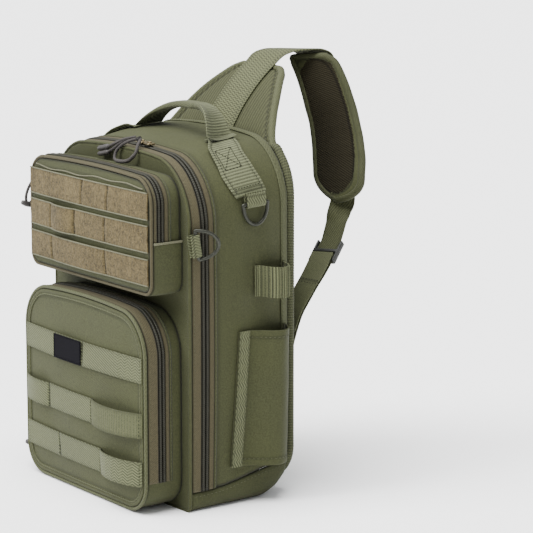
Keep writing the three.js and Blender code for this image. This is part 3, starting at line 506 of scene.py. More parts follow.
def shaped_grid(columns: int, rows: int, place: Place, cloth: Cloth,
                seam_and_painted_shade: Callable[[float, float], float] | None = None,
                inside: Sequence[float] | None = None) -> bmesh.types.BMesh:
    """Moves a grid onto a surface, with its cloth measured in metres.

    Args:
        columns: faces along the cloth.
        rows: faces across it.
        place: where a point of the cloth lies, from its two shares, in millimetres.
        cloth: its length and width, or where a point lies along and across it, in millimetres.
        seam_and_painted_shade: the painted shade of a point, from 0 to 1, darkest in seams and grooves.
        inside: a point that an open sheet's faces look away from, in millimetres.

    Returns:
        The mesh, in metres.
    """
    bm = bmesh.new()
    bmesh.ops.create_grid(bm, x_segments=columns, y_segments=rows, size=0.5)
    layer = bm.loops.layers.uv.new("UVMap")
    # the painted shade of each corner, read by the materials to darken seams and grooves
    depth = bm.verts.layers.float.new("seam_and_painted_shade")
    for face in bm.faces:
        for loop in face.loops:
            u, v = loop.vert.co.x + 0.5, loop.vert.co.y + 0.5
            along, across = cloth(u, v) if callable(cloth) else (u * cloth[0], v * cloth[1])
            loop[layer].uv = (along * MM, across * MM)
    for vert in bm.verts:
        u, v = vert.co.x + 0.5, vert.co.y + 0.5
        if seam_and_painted_shade is not None:
            vert[depth] = seam_and_painted_shade(u, v)
        vert.co = place(u, v) * MM
    if inside is not None:
        face_away(bm, Vector(inside))
    return bm


def face_away(bm: bmesh.types.BMesh, inside: Vector) -> None:
    """Turns an open sheet so that its faces look away from a point, in millimetres."""
    heart = inside * MM
    bm.normal_update()
    if sum(face.normal.dot(face.calc_center_median() - heart) for face in bm.faces) < 0:
        bmesh.ops.reverse_faces(bm, faces=bm.faces[:])


def close_up(bm: bmesh.types.BMesh) -> None:
    """Merges the edges that meet and turns a closed shape's faces outwards."""
    bmesh.ops.remove_doubles(bm, verts=bm.verts[:], dist=MERGE)
    open_edges = [edge for edge in bm.edges if edge.is_boundary]
    if open_edges:
        bmesh.ops.holes_fill(bm, edges=open_edges, sides=0)
    bmesh.ops.recalc_face_normals(bm, faces=bm.faces[:])


def tube(route: Route, radius: float, steps: int, sides: int = 8,
         swell: Callable[[float], float] | None = None, flat: Vector | None = None,
         squash: float = 1.0, seam_and_painted_shade: Callable[[float, float], float] | None = None) -> bmesh.types.BMesh:
    """Runs a round section along a line.

    Args:
        route: the line.
        radius: of the section.
        steps: along the line.
        sides: of the section.
        swell: the section's size as a share, along the line.
        flat: a direction that the line keeps square to.
        squash: the section's thickness towards that direction, as a share.
        seam_and_painted_shade: the painted shade of a point, from 0 to 1, darkest in seams and grooves.

    Returns:
        The mesh.
    """
    guide = flat or Vector((0.3, 0.2, 0.93))

    def place(u: float, v: float) -> Vector:
        """Returns where a point of the cloth lies."""
        tangent = route.tangent(u)
        side = tangent.cross(guide).normalized()
        up = side.cross(tangent).normalized()
        reach = radius * (swell(u) if swell else 1.0)
        turn = math.tau * v
        return route.at(u) + side * (reach * math.cos(turn)) + up * (reach * squash * math.sin(turn))

    bm = shaped_grid(steps, sides, place, (route.length, math.tau * radius), seam_and_painted_shade)
    close_up(bm)
    return bm


def add_block(bm: bmesh.types.BMesh, place: Matrix, spot: Sequence[float], size: Sequence[float],
              rounding: float, segments: int = 3) -> None:
    """Adds a box with rounded edges to a mesh.

    Args:
        bm: the mesh.
        place: the frame that the box is measured in.
        spot: the box's middle, in millimetres.
        size: its three sides, in millimetres.
        rounding: how wide its rounded edges are, in millimetres.
        segments: faces across a rounded edge.
    """
    matrix = place @ Matrix.Translation(Vector(spot) * MM) @ Matrix.Diagonal(Vector((*size, 1 / MM)) * MM)
    made = bmesh.ops.create_cube(bm, size=1.0, matrix=matrix)
    edges = list({edge for vert in made["verts"] for edge in vert.link_edges})
    bmesh.ops.bevel(bm, geom=edges, offset=rounding * MM, affect="EDGES", segments=segments, profile=0.5,
                    material=-1)


def make_piece(name: str, bm: bmesh.types.BMesh, finishes: Finish | Sequence[Finish], slot: str,
               replaces: Sequence[str] = (), wall: float = 0.0, rim: float = 0.0,
               flat: bool = False) -> bpy.types.Object:
    """Makes an object of a mesh, dresses it and sets it on the bag.

    Args:
        name: the piece's name.
        bm: its mesh, which is used up.
        finishes: its finish, or one for each material number.
        slot: the record's material slot; not used.
        replaces: the nodes that it stands for.
        wall: thickness given inwards to an open sheet.
        rim: radius of its edges, where it has a wall.
        flat: True for flat faces, False for smooth ones.

    Returns:
        The object.
    """
    mesh = bpy.data.meshes.new(name)
    bm.to_mesh(mesh)
    bm.free()
    for finish in finishes if isinstance(finishes, (list, tuple)) else [finishes]:
        mesh.materials.append(material(finish))
    if not flat:
        mesh.shade_smooth()
    piece = bpy.data.objects.new(name, mesh)
    bpy.context.scene.collection.objects.link(piece)
    if wall:
        solidify = piece.modifiers.new("wall", "SOLIDIFY")
        solidify.thickness = wall * MM
        solidify.offset = -1
    if rim:
        bevel = piece.modifiers.new("rim", "BEVEL")
        bevel.width = rim * MM
        bevel.segments = 2
        bevel.limit_method = "ANGLE"
        bevel.angle_limit = math.radians(50)
        bevel.harden_normals = True
    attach(piece, "root")
    if replaces:
        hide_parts(*replaces)
    log.info("%s: %d faces", name, len(mesh.polygons))
    return piece


@dataclass
class Stitching:
    """Lines of stitches that become one piece."""

    name: str
    finish: Finish = THREAD
    slot: str = "sage_webbing"
    length: float = 3.2
    gap: float = 1.3
    width: float = 0.8
    height: float = 0.7

    def __post_init__(self) -> None:
        """Starts the mesh."""
        self.bm = bmesh.new()

    def sew(self, points: Sequence[Vector], out: Vector | Sequence[Vector]) -> None:
        """Adds a line of stitches.

        Args:
            points: the line, in millimetres, on the cloth's surface.
            out: the direction off the cloth, the same all along or one for each point.
        """
        marks = [0.0]
        for before, after in zip(points, points[1:]):
            marks.append(marks[-1] + (after - before).length)
        pitch = self.length + self.gap
        count = max(1, int(marks[-1] / pitch))
        index = 0
        for number in range(count):
            reach = (number + 0.5) * marks[-1] / count
            while index + 2 < len(marks) and marks[index + 1] < reach:
                index += 1
            share = (reach - marks[index]) / max(1e-6, marks[index + 1] - marks[index])
            centre = points[index].lerp(points[index + 1], share)
            run = (points[index + 1] - points[index]).normalized()
            lift = out if isinstance(out, Vector) else out[index]
            side = run.cross(lift).normalized()
            up = side.cross(run).normalized()
            axes = (run * self.length / 2, side * self.width / 2, up * self.height / 2)
            matrix = Matrix.Translation(centre * MM) @ (Matrix(axes).transposed() * MM).to_4x4()
            bmesh.ops.create_icosphere(self.bm, subdivisions=1, radius=1.0, matrix=matrix)

    def finish_up(self) -> bpy.types.Object:
        """Makes the piece of all lines."""
        return make_piece(self.name, self.bm, self.finish, self.slot)


def inflate(piece: bpy.types.Object, held: Callable[[Vector], bool], pressure: float, cap: float,
            steps: int = 20) -> None:
    """Puffs a closed pad with a short cloth simulation, holding its seams.

    Args:
        piece: the pad.
        held: says whether a corner, in millimetres, is sewn down.
        pressure: of the filling.
        cap: how far a corner may move, in millimetres.
        steps: how many frames the simulation runs.
    """
    mesh = piece.data
    rest = [vert.co.copy() for vert in mesh.vertices]
    sewn = piece.vertex_groups.new(name="sewn")
    sewn.add([i for i, corner in enumerate(rest) if held(corner / MM)], 1.0, "REPLACE")
    cloth = piece.modifiers.new("filling", "CLOTH")
    cloth.settings.quality = 6
    cloth.settings.mass = 0.25
    cloth.settings.tension_stiffness = 12
    cloth.settings.compression_stiffness = 12
    cloth.settings.shear_stiffness = 6
    cloth.settings.bending_stiffness = 2.5
    cloth.settings.use_pressure = True
    cloth.settings.uniform_pressure_force = pressure
    cloth.settings.effector_weights.gravity = 0
    cloth.settings.vertex_group_mass = sewn.name
    cloth.point_cache.frame_start = 1
    cloth.point_cache.frame_end = steps
    scene = bpy.context.scene
    for step in range(1, steps + 1):
        scene.frame_set(step)
    puffed = piece.evaluated_get(bpy.context.evaluated_depsgraph_get())
    moved = [vert.co.copy() for vert in puffed.data.vertices]
    piece.modifiers.remove(cloth)
    piece.vertex_groups.remove(sewn)
    for vert, before, after in zip(mesh.vertices, rest, moved):
        shift = after - before
        if shift.length > cap * MM:
            shift = shift.normalized() * cap * MM
        vert.co = before + shift
    scene.frame_set(1)
    mesh.update()


@dataclass(frozen=True)
class Arch:
    """A U-shaped line round the bag, with a place on it measured along it from its middle.

    direction is 1 for one that opens down, -1 for a tray that opens up. fall is the height from its
    middle to its ends.
    """

    direction: int
    half_width: float
    apex: float
    radius: float
    crown: float
    bulge: float
    fall: float

    @property
    def half_length(self) -> float:
        """Length from its middle to an end."""
        return self.half_width - self.radius + self.radius * math.pi / 2 + self.fall - self.radius

    def at(self, along: float, y: float, lift: float = 0.0) -> Vector:
        """Returns the point at a place on the arch, raised off it by lift."""
        flat = self.half_width - self.radius
        reach = abs(along)
        turn = clamp((reach - flat) / self.radius, 0, math.pi / 2)
        drop = self.radius * (1 - math.cos(turn)) + max(0.0, reach - flat - self.radius * math.pi / 2)
        bare = min(reach, flat) + self.radius * math.sin(turn)
        outwards = math.sin(turn)
        crown = self.crown * (1 - (bare / self.half_width) ** 2)
        bulge = self.bulge * math.sin(math.pi * clamp(drop / self.fall, 0, 1)) * outwards
        x = bare + bulge + outwards * lift
        z = self.apex + self.direction * (crown - drop + math.cos(turn) * lift)
        return Vector((-x if along < 0 else x, y, z))

    def out(self, along: float) -> Vector:
        """Returns the direction off the arch at a place on it."""
        turn = clamp((abs(along) - self.half_width + self.radius) / self.radius, 0, math.pi / 2)
        return Vector((math.copysign(math.sin(turn), along), 0, self.direction * math.cos(turn)))


@dataclass(frozen=True)
class BodyShape:
    """The main compartment's form, from front to back."""

    width: float = 250.0
    depth: float = 116.0
    front: float = -56.0
    height: float = 352.0
    rise: float = 14.0
    corner: float = 55.0
    crown: float = 10.0
    bulge: float = 4.0
    boot: float = 20.0
    boot_rise: float = 16.0
    heel: float = 14.0
    boot_corner: float = 15.0
    # share of the depth, then width, rise, fullness, heel, boot seam and boot corner
    rows: tuple[tuple[float, ...], ...] = (
        (0, 0.99, 0, 0.2, 0, 0, 0.5),
        (0.12, 1, 0.05, 0.5, 0, 0.03, 0.7),
        (0.3, 1.008, 0.32, 0.9, 0, 0.12, 0.9),
        (0.5, 1.012, 0.62, 1, 0, 0.4, 1),
        (0.76, 1.006, 0.88, 0.85, 0, 0.8, 1.1),
        (0.9, 1, 0.97, 0.6, 0.35, 0.93, 1.2),
        (1, 0.985, 1, 0.3, 1, 1, 1.2),
    )

    @property
    def back(self) -> float:
        """Where its back lies."""
        return self.front + self.depth

    @lru_cache(maxsize=None)
    def arch(self, y: float) -> Arch:
        """Returns the line over the top at a depth."""
        width, rise, full, _, seam_and_painted_shade, _ = read_smooth(self.rows, (y - self.front) / self.depth)
        apex = self.height - self.crown + self.rise * rise
        fall = apex - self.boot - self.boot_rise * seam_and_painted_shade - SEAT / 2
        return Arch(1, self.width / 2 * width, apex, self.corner, self.crown, self.bulge * full, fall)

    @lru_cache(maxsize=None)
    def tray(self, y: float) -> Arch:
        """Returns the line under the bottom at a depth."""
        width, _, _, heel, seam_and_painted_shade, corner = read_smooth(self.rows, (y - self.front) / self.depth)
        apex = self.heel * heel
        fall = self.boot + self.boot_rise * seam_and_painted_shade - SEAT / 2 - apex
        return Arch(-1, self.width / 2 * width, apex, min(self.boot_corner * corner, fall * 0.9), 0, 0, fall)

    def side_along(self, y: float, z: float) -> float:
        """Returns the place on the arch of a point on its straight side, from its height."""
        arch = self.arch(y)
        return arch.half_width - arch.radius + arch.radius * math.pi / 2 + arch.apex - arch.radius - z

    def side(self, side: int, y: float, z: float, lift: float) -> Vector:
        """Returns a point on one side, 1 for right and -1 for left."""
        return self.arch(y).at(side * self.side_along(y, z), y, lift)


BODY = BodyShape()


@dataclass
class ZipLine:
    """A zip on an arch: its tape, two rows of coil and the folded cloth edges beside them."""

    name: str
    arch: Callable[[float], Arch]
    front: float
    teeth: float
    replaces: str
    tooth: float = 2.2
    coil_width: float = 3.5
    groove: float = 1.0
    back_tape: float = 5.5
    fold: float = 3.5
    end_gap: float = 0.3

    @property
    def _inside(self) -> Vector:
        """Returns a point well under the zip."""
        return self.arch(self.teeth).at(0, self.teeth) - Vector((0, 0, 120))

    def _strip(self, name: str, rows: Sequence[tuple[float, float, float]], finish: Finish,
               replaces: Sequence[str] = ()) -> bpy.types.Object:
        """Makes a strip along the arch.

        Args:
            name: of the strip.
            rows: a depth, a lift and the painted shade, for each line along the strip.
            finish: its finish.
            replaces: the node that it stands for.

        Returns:
            The strip.
        """
        half = self.arch(self.teeth).half_length - self.end_gap

        def place(u: float, v: float) -> Vector:
            """Returns where a point of the cloth lies."""
            y, lift, _ = rows[round(v * (len(rows) - 1))]
            arch = self.arch(y)
            return arch.at((2 * u - 1) * (arch.half_length - self.end_gap), y, lift)

        def seam_and_painted_shade(u: float, v: float) -> float:
            """Returns the painted shade of a line along the strip, from its row."""
            return rows[round(v * (len(rows) - 1))][2]

        width = abs(rows[-1][0] - rows[0][0])
        bm = shaped_grid(170, len(rows) - 1, place, (2 * half, width), seam_and_painted_shade, self._inside)
        slot = "body_fabric" if finish is FABRIC else "zip_tape"
        return make_piece(name, bm, finish, slot, replaces, wall=0.5)

    def build(self) -> None:
        """Makes the tapes, the coils, the fold behind them and the stitches."""
        low = SEAT + 0.8
        edge = self.coil_width + self.groove
        near, far = self.teeth - edge, self.teeth + edge
        last = far + self.back_tape
        # The third number of each row below is painted shade: dark at the tapes' edges, in the gap under the
        # coils and along the fold.
        self._strip(f"{self.name}_tape", [
            (self.front, low - 0.4, 0.9), (self.front + 1, low, 0.1), (self.front + 2, low, 0),
            (near - 1, low, 0), (near, low - 0.1, 0.5), (near + 0.2, SEAT, 1), (far - 0.2, SEAT, 1),
            (far, low - 0.1, 0.5), (far + 1, low, 0), (last - 1, low, 0.1), (last, low - 0.2, 0.9),
        ], ZIP_TAPE, (self.replaces,))
        self._strip(f"{self.name}_fold", [
            (last - 0.2, low - 0.3, 0.9), (last + 0.3, low + 0.5, 0.1), (last + 1.6, low + 0.4, 0),
            (last + self.fold, SEAT, 0.5),
        ], FABRIC)
        self._coils()
        self._stitches(low, last)

    def _coils(self) -> None:
        """Makes the two rows of coil, ridged tooth by tooth."""
        half = self.arch(self.teeth).half_length - 0.5
        count = round(2 * half / self.tooth)

        def ridge(u: float) -> float:
            """Returns 1 on a tooth and 0 between two."""
            return 1 - rib_at(u * count)

        for number, side in enumerate((-1, 1)):
            middle = self.teeth + side * (self.coil_width / 2 + 0.2)

            def place(u: float, v: float) -> Vector:
                """Returns where a point of the cloth lies."""
                round_off = math.sqrt(max(0.0, 1 - (2 * v - 1) ** 2))
                y = middle + (v - 0.5) * self.coil_width * (0.8 + 0.2 * ridge(u))
                arch = self.arch(y)
                lift = SEAT + 0.7 + round_off * (0.8 + 0.6 * ridge(u))
                return arch.at((2 * u - 1) * (arch.half_length - 0.4), y, lift)

            def seam_and_painted_shade(u: float, v: float) -> float:
                """Returns the painted shade: dark between teeth and along the coil's edges."""
                return 0.5 * (1 - ridge(u)) + 0.5 * abs(2 * v - 1) ** 4

            bm = shaped_grid(count * 4, 4, place, (2 * half, self.coil_width), seam_and_painted_shade, self._inside)
            make_piece(f"{self.name}_coil_{number + 1}", bm, COIL, "zip_tape", wall=0.4)

    def _stitches(self, low: float, last: float) -> None:
        """Sews the tape down along both its sides."""
        stitches = Stitching(f"{self.name}_stitching", slot="zip_tape", length=2.6, gap=1.2, width=0.6,
                             height=0.5)
        for y, lift in ((self.front + 2.2, low + 0.05), (last + 1.4, low + 0.45)):
            arch = self.arch(y)
            places = even(1 - arch.half_length, arch.half_length - 1, 120)
            stitches.sew([arch.at(place, y, lift) for place in places], [arch.out(place) for place in places])
        stitches.finish_up()


@dataclass
class MainCompartment:
    """The arched body with its bottom panel, front panel, piping and main zip."""

    zip_front: float = -55.3
    zip_teeth: float = -41.5
    zip_back: float = -28.0
    sink: float = 1.5
    panel_front: float = -58.2
    edge_front: float = -57.4
    shell_cloth: tuple[float, float] = (860, 116)
    bottom_cloth: tuple[float, float] = (320, 116)
    panel_cloth: tuple[float, float] = (248, 350)
    binding_width: float = 9.0
    heart: tuple[float, float, float] = (0, 0, 150)

    def _soft(self, spot: Vector) -> float:
        """Returns how far the cloth sinks at a spot, in long upright hollows."""
        wave = noise.noise(Vector((spot.x / 60, spot.y / 26, spot.z / 85)))
        fine = noise.noise(Vector((spot.x / 21, spot.y / 15, spot.z / 30)) + Vector((7, 3, 1)))
        return -self.sink * max(0.0, wave + 0.1) - 0.5 * max(0.0, fine)

    def _shell(self) -> None:
        """Makes the wall over the sides and the top."""
        def place(u: float, v: float) -> Vector:
            """Returns where a point of the cloth lies."""
            y = BODY.front + BODY.depth * v
            arch = BODY.arch(y)
            along = (2 * u - 1) * arch.half_length
            end = arch.half_length - abs(along)
            spot = arch.at(along, y)
            pull = -1.3 * bump_at(end, 0, 2.2) - 0.8 * bump_at(y, BODY.back, 2.5)
            quiet = clamp((y - self.zip_back) / 12, 0, 1) * clamp(end / 10, 0, 1)
            return arch.at(along, y, pull + self._soft(spot) * quiet)

        def seam_and_painted_shade(u: float, v: float) -> float:
            """Returns the painted shade: dark where the shell meets the bottom panel and beside the main
            zip's back edge.
            """
            y = BODY.front + BODY.depth * v
            arch = BODY.arch(y)
            end = arch.half_length * (1 - abs(2 * u - 1))
            return 0.9 * bump_at(end, 0, 1.6) + 0.35 * bump_at(y, self.zip_back + 1, 2.2)

        bm = shaped_grid(230, 46, place, self.shell_cloth, seam_and_painted_shade, self.heart)
        make_piece("body_shell", bm, FABRIC, "body_fabric", ("body_gusset",), wall=CLOTH)

    def _boot(self) -> None:
        """Makes the bottom panel with its turned-up sides."""
        def place(u: float, v: float) -> Vector:
            """Returns where a point of the cloth lies."""
            y = BODY.front + BODY.depth * v
            tray = BODY.tray(y)
            along = (2 * u - 1) * tray.half_length
            end = tray.half_length - abs(along)
            upright = abs(along) >= tray.half_width - tray.radius
            dent = 0.5 * max(0.0, noise.noise(Vector((along / 30, y / 24, 5)))) * upright
            return tray.at(along, y, -1.1 * bump_at(end, 0, 2.0) - dent)

        def seam_and_painted_shade(u: float, v: float) -> float:
            """Returns the painted shade: dark along the bottom panel's top edges, where they meet the shell.
            """
            tray = BODY.tray(BODY.front + BODY.depth * v)
            end = tray.half_length * (1 - abs(2 * u - 1))
            return 0.8 * bump_at(end, 0, 1.4)

        bm = shaped_grid(120, 40, place, self.bottom_cloth, seam_and_painted_shade, self.heart)
        make_piece("bottom_panel", bm, FABRIC, "body_fabric", ("base_boot",), wall=CLOTH)
        stitches = Stitching("bottom_panel_stitching", length=3, gap=1.4, width=0.7, slot="body_fabric")
        for side in (-1, 1):
            depths = even(BODY.front + 3, BODY.back - 3, 40)
            line = [BODY.tray(y).at(side * (BODY.tray(y).half_length - 4.5), y, 0.1) for y in depths]
            stitches.sew(line, RIGHT * side)
        stitches.finish_up()

    def _front(self) -> None:
        """Makes the flat front panel and the piped edges of the body."""
        arch, tray = BODY.arch(BODY.front), BODY.tray(BODY.front)

        def place(u: float, v: float) -> Vector:
            """Returns where a point of the cloth lies."""
            x, low, high = span_of(arch, tray, 2 * u - 1, -0.5)
            z = low + (high - low) * v
            rim = min(z - low, high - z, arch.half_width - abs(x))
            sag = 0.7 * noise.noise(Vector((x / 40, z / 50, 2)))
            return Vector((x, self.panel_front + max(0.0, sag) * clamp(rim / 10, 0, 1), z))

        bm = shaped_grid(90, 90, place, self.panel_cloth, None, self.heart)
        make_piece("front_panel_cloth", bm, FABRIC, "body_fabric", ("front_panel",), wall=CLOTH - 0.1)
        edge = ring_of(outline_of(arch, tray), self.edge_front, 120)
        make_piece("front_edge_piping", tube(edge, 1.7, 360, flat=BACK), FABRIC, "body_fabric")

    def _back_binding(self) -> None:
        """Makes the binding round the back edge of the shell."""
        def place(u: float, v: float) -> Vector:
            """Returns where a point of the cloth lies."""
            y = BODY.back - self.binding_width + 9.2 * v
            arch = BODY.arch(min(y, BODY.back))
            return arch.at((2 * u - 1) * (arch.half_length - 2), y, 0.5 + 0.5 * math.sin(math.pi * v))

        bm = shaped_grid(200, 5, place, (self.shell_cloth[0], self.binding_width), None, self.heart)
        make_piece("back_edge_binding", bm, BINDING, "sage_webbing", wall=0.5)
        stitches = Stitching("back_edge_stitching", length=3, gap=1.3, width=0.7)
        y = BODY.back - self.binding_width + 2
        arch = BODY.arch(y)
        spots = even(3 - arch.half_length, arch.half_length - 3, 150)
        stitches.sew([arch.at(spot, y, 0.95) for spot in spots], [arch.out(spot) for spot in spots])
        stitches.finish_up()

    def build(self) -> None:
        """Makes the whole compartment."""
        self._shell()
        self._boot()
        self._front()
        self._back_binding()
        ZipLine("main_zip", BODY.arch, self.zip_front, self.zip_teeth, "main_zip").build()


def outline_of(arch: Arch, tray: Arch, lift: float = 0.0) -> Callable[[float], Vector]:
    """Returns the closed line over an arch and back under its tray, read by a share of its length."""
    over, under = 2 * arch.half_length, 2 * tray.half_length

    def at(share: float) -> Vector:
        """Returns the point at a share of the length."""
        reach = (share % 1) * (over + under)
        if reach <= over:
            return arch.at(reach - over / 2, 0, lift)
        return tray.at(under / 2 - (reach - over), 0, lift)

    return at


def ring_of(outline: Callable[[float], Vector], y: float, count: int) -> Route:
    """Returns an outline as a closed route at a depth, through so many points."""
    return Route([outline(i / count) + BACK * y for i in range(count)], closed=True)


def span_of(arch: Arch, tray: Arch, across: float, lift: float) -> tuple[float, float, float]:
    """Returns a place across an outline and its lowest and highest point there.

    Args:
        arch: the outline's upper line.
        tray: its lower line.
        across: from -1 at the left edge to 1 at the right one.
        lift: how far off the outline the edge lies.

    Returns:
        The x, the lowest z and the highest z.
    """
    x = (arch.half_width + lift) * math.sin(across * math.pi / 2)

    def height(line: Arch) -> float:
        """Returns the height of a line at this place across."""
        flat = line.half_width - line.radius
        turn = math.asin(clamp((abs(x) - flat) / (line.radius + lift), 0, 1))
        crown = line.crown * (1 - (min(abs(x), line.half_width) / line.half_width) ** 2)
        rounded = line.radius * (1 - math.cos(turn))
        return line.apex + line.direction * (crown - rounded + math.cos(turn) * lift)

    low, high = height(tray), height(arch)
    return x, low, high


@dataclass
class Pocket:
    """A front pocket: its wall, bowed face, edge piping and zip."""

    name: str
    half_width: float
    bottom: float
    top: float
    depth: float
    top_radius: float
    bottom_radius: float
    crown: float
    bulge: float
    zip_place: float
    zip_fall: float
    back: float = -58.6
    piping: float = 1.8

    @property
    def rim(self) -> float:
        """Where the face's edge lies."""
        return self.back - self.depth - SEAT

    @property
    def middle(self) -> float:
        """Height of the pocket's middle."""
        return (self.top + self.bottom) / 2

    @property
    def teeth(self) -> float:
        """Where the middle of its zip lies."""
        return self.back - self.depth * self.zip_place

    @property
    def _half_fall(self) -> float:
        """Half the height between the ends of the outline's straight sides."""
        return (self.top - self.crown - self.bottom) / 2

    def arch(self, fall: float | None = None) -> Arch:
        """Returns the upper line of its outline, half the height long or as far down as fall says."""
        apex = self.top - self.crown
        return Arch(1, self.half_width, apex, self.top_radius, self.crown, 0, fall or self._half_fall)

    def tray(self, fall: float | None = None) -> Arch:
        """Returns the lower line of its outline, half the height long or as far up as fall says."""
        return Arch(-1, self.half_width, self.bottom, self.bottom_radius, 0, 0, fall or self._half_fall)

    def face(self, x: float, z: float) -> float:
        """Returns where the front of the face lies."""
        half = (self.top - self.bottom) / 2
        full = max(0.0, 1 - (x / self.half_width) ** 2) * max(0.0, 1 - ((z - self.middle) / half) ** 2)
        return self.rim - CLOTH - self.bulge * full

    @staticmethod
    def bow_at(loops: Sequence[Sequence], share: float) -> float:
        """Returns how far a band bows off the face.

        Args:
            loops: its loops, each from and to a share of the half span, then how far it bows.
            share: the place along the band, as a share of the half span.

        Returns:
            The bow, in millimetres.
        """
        for low, high, bow, *_ in loops:
            if low < share < high:
                return bow * math.sin(math.pi * (share - low) / (high - low)) ** 0.7
        return 0.0

    def _wall(self) -> None:
        """Makes the wall round the pocket."""
        outline = outline_of(self.arch(), self.tray())

        def place(u: float, v: float) -> Vector:
            """Returns where a point of the cloth lies."""
            spot = outline(u)
            y = self.back - self.depth * v
            inwards = (UP * self.middle - spot).normalized()
            dent = 1.1 * max(0.0, noise.noise(Vector((spot.x / 34, y / 18, spot.z / 40))) + 0.1)
            edge = 0.9 * bump_at(v * self.depth, 0, 2.5)
            quiet = clamp((self.zip_place - 0.25 - v) * 6, 0, 1)
            spot = spot + inwards * (dent * quiet + edge)
            return Vector((spot.x, y, spot.z))

        def seam_and_painted_shade(u: float, v: float) -> float:
            """Returns the painted shade: dark where the wall meets the body and at its front edge."""
            return 0.85 * bump_at(v * self.depth, 0, 2.2) + 0.7 * bump_at((1 - v) * self.depth, 0, 1.5)

        length = 2 * (self.arch().half_length + self.tray().half_length)
        bm = shaped_grid(200, 18, place, (length, self.depth), seam_and_painted_shade)
        bmesh.ops.remove_doubles(bm, verts=bm.verts[:], dist=MERGE)
        face_away(bm, Vector((0, self.back - self.depth / 2, self.middle)))
        make_piece(f"{self.name}_wall", bm, FABRIC, "body_fabric", (f"{self.name}_gusset",), wall=CLOTH)

    def _front(self) -> None:
        """Makes the bowed face."""
        arch, tray = self.arch(), self.tray()

        def place(u: float, v: float) -> Vector:
            """Returns where a point of the cloth lies."""
            x, low, high = span_of(arch, tray, 2 * u - 1, -self.piping - SEAT)
            z = low + (high - low) * (0.5 - 0.5 * math.cos(math.pi * v))
            rim = min(z - low, high - z, self.half_width - abs(x))
            sag = 1.0 * max(0.0, noise.noise(Vector((x / 38, z / 30, 9)))) * clamp((rim - 8) / 14, 0, 1)
            return Vector((x, self.face(x, z) + sag, z))

        def seam_and_painted_shade(u: float, v: float) -> float:
            """Returns the painted shade: dark at the face's edge and along a line 8 mm inside it."""
            spot = place(u, v)
            _, low, high = span_of(arch, tray, 2 * u - 1, -self.piping - SEAT)
            rim = min(spot.z - low, high - spot.z, self.half_width - self.piping - SEAT - abs(spot.x))
            return 0.8 * bump_at(rim, 0, 1.6) + 0.35 * bump_at(rim, 8.2, 1.1)

        bm = shaped_grid(110, 100, place, (2 * self.half_width, self.top - self.bottom), seam_and_painted_shade)
        bmesh.ops.remove_doubles(bm, verts=bm.verts[:], dist=MERGE)
        face_away(bm, UP * self.middle)
        make_piece(f"{self.name}_front", bm, FABRIC, "body_fabric", (f"{self.name}_face",), wall=CLOTH)

    def rim_route(self, inset: float, off: float) -> Route:
        """Returns the line that runs inside the outline, on the face."""
        line = outline_of(self.arch(), self.tray(), -inset)
        spots = [line(i / 140) for i in range(140)]
        return Route([Vector((p.x, self.face(p.x, p.z) - off, p.z)) for p in spots], closed=True)

    def build(self) -> None:
        """Makes the pocket."""
        self._wall()
        self._front()
        name = f"{self.name}_zip"
        ZipLine(name, lambda y: self.arch(self.zip_fall), self.rim + 0.8, self.teeth, name,
                back_tape=4.5).build()


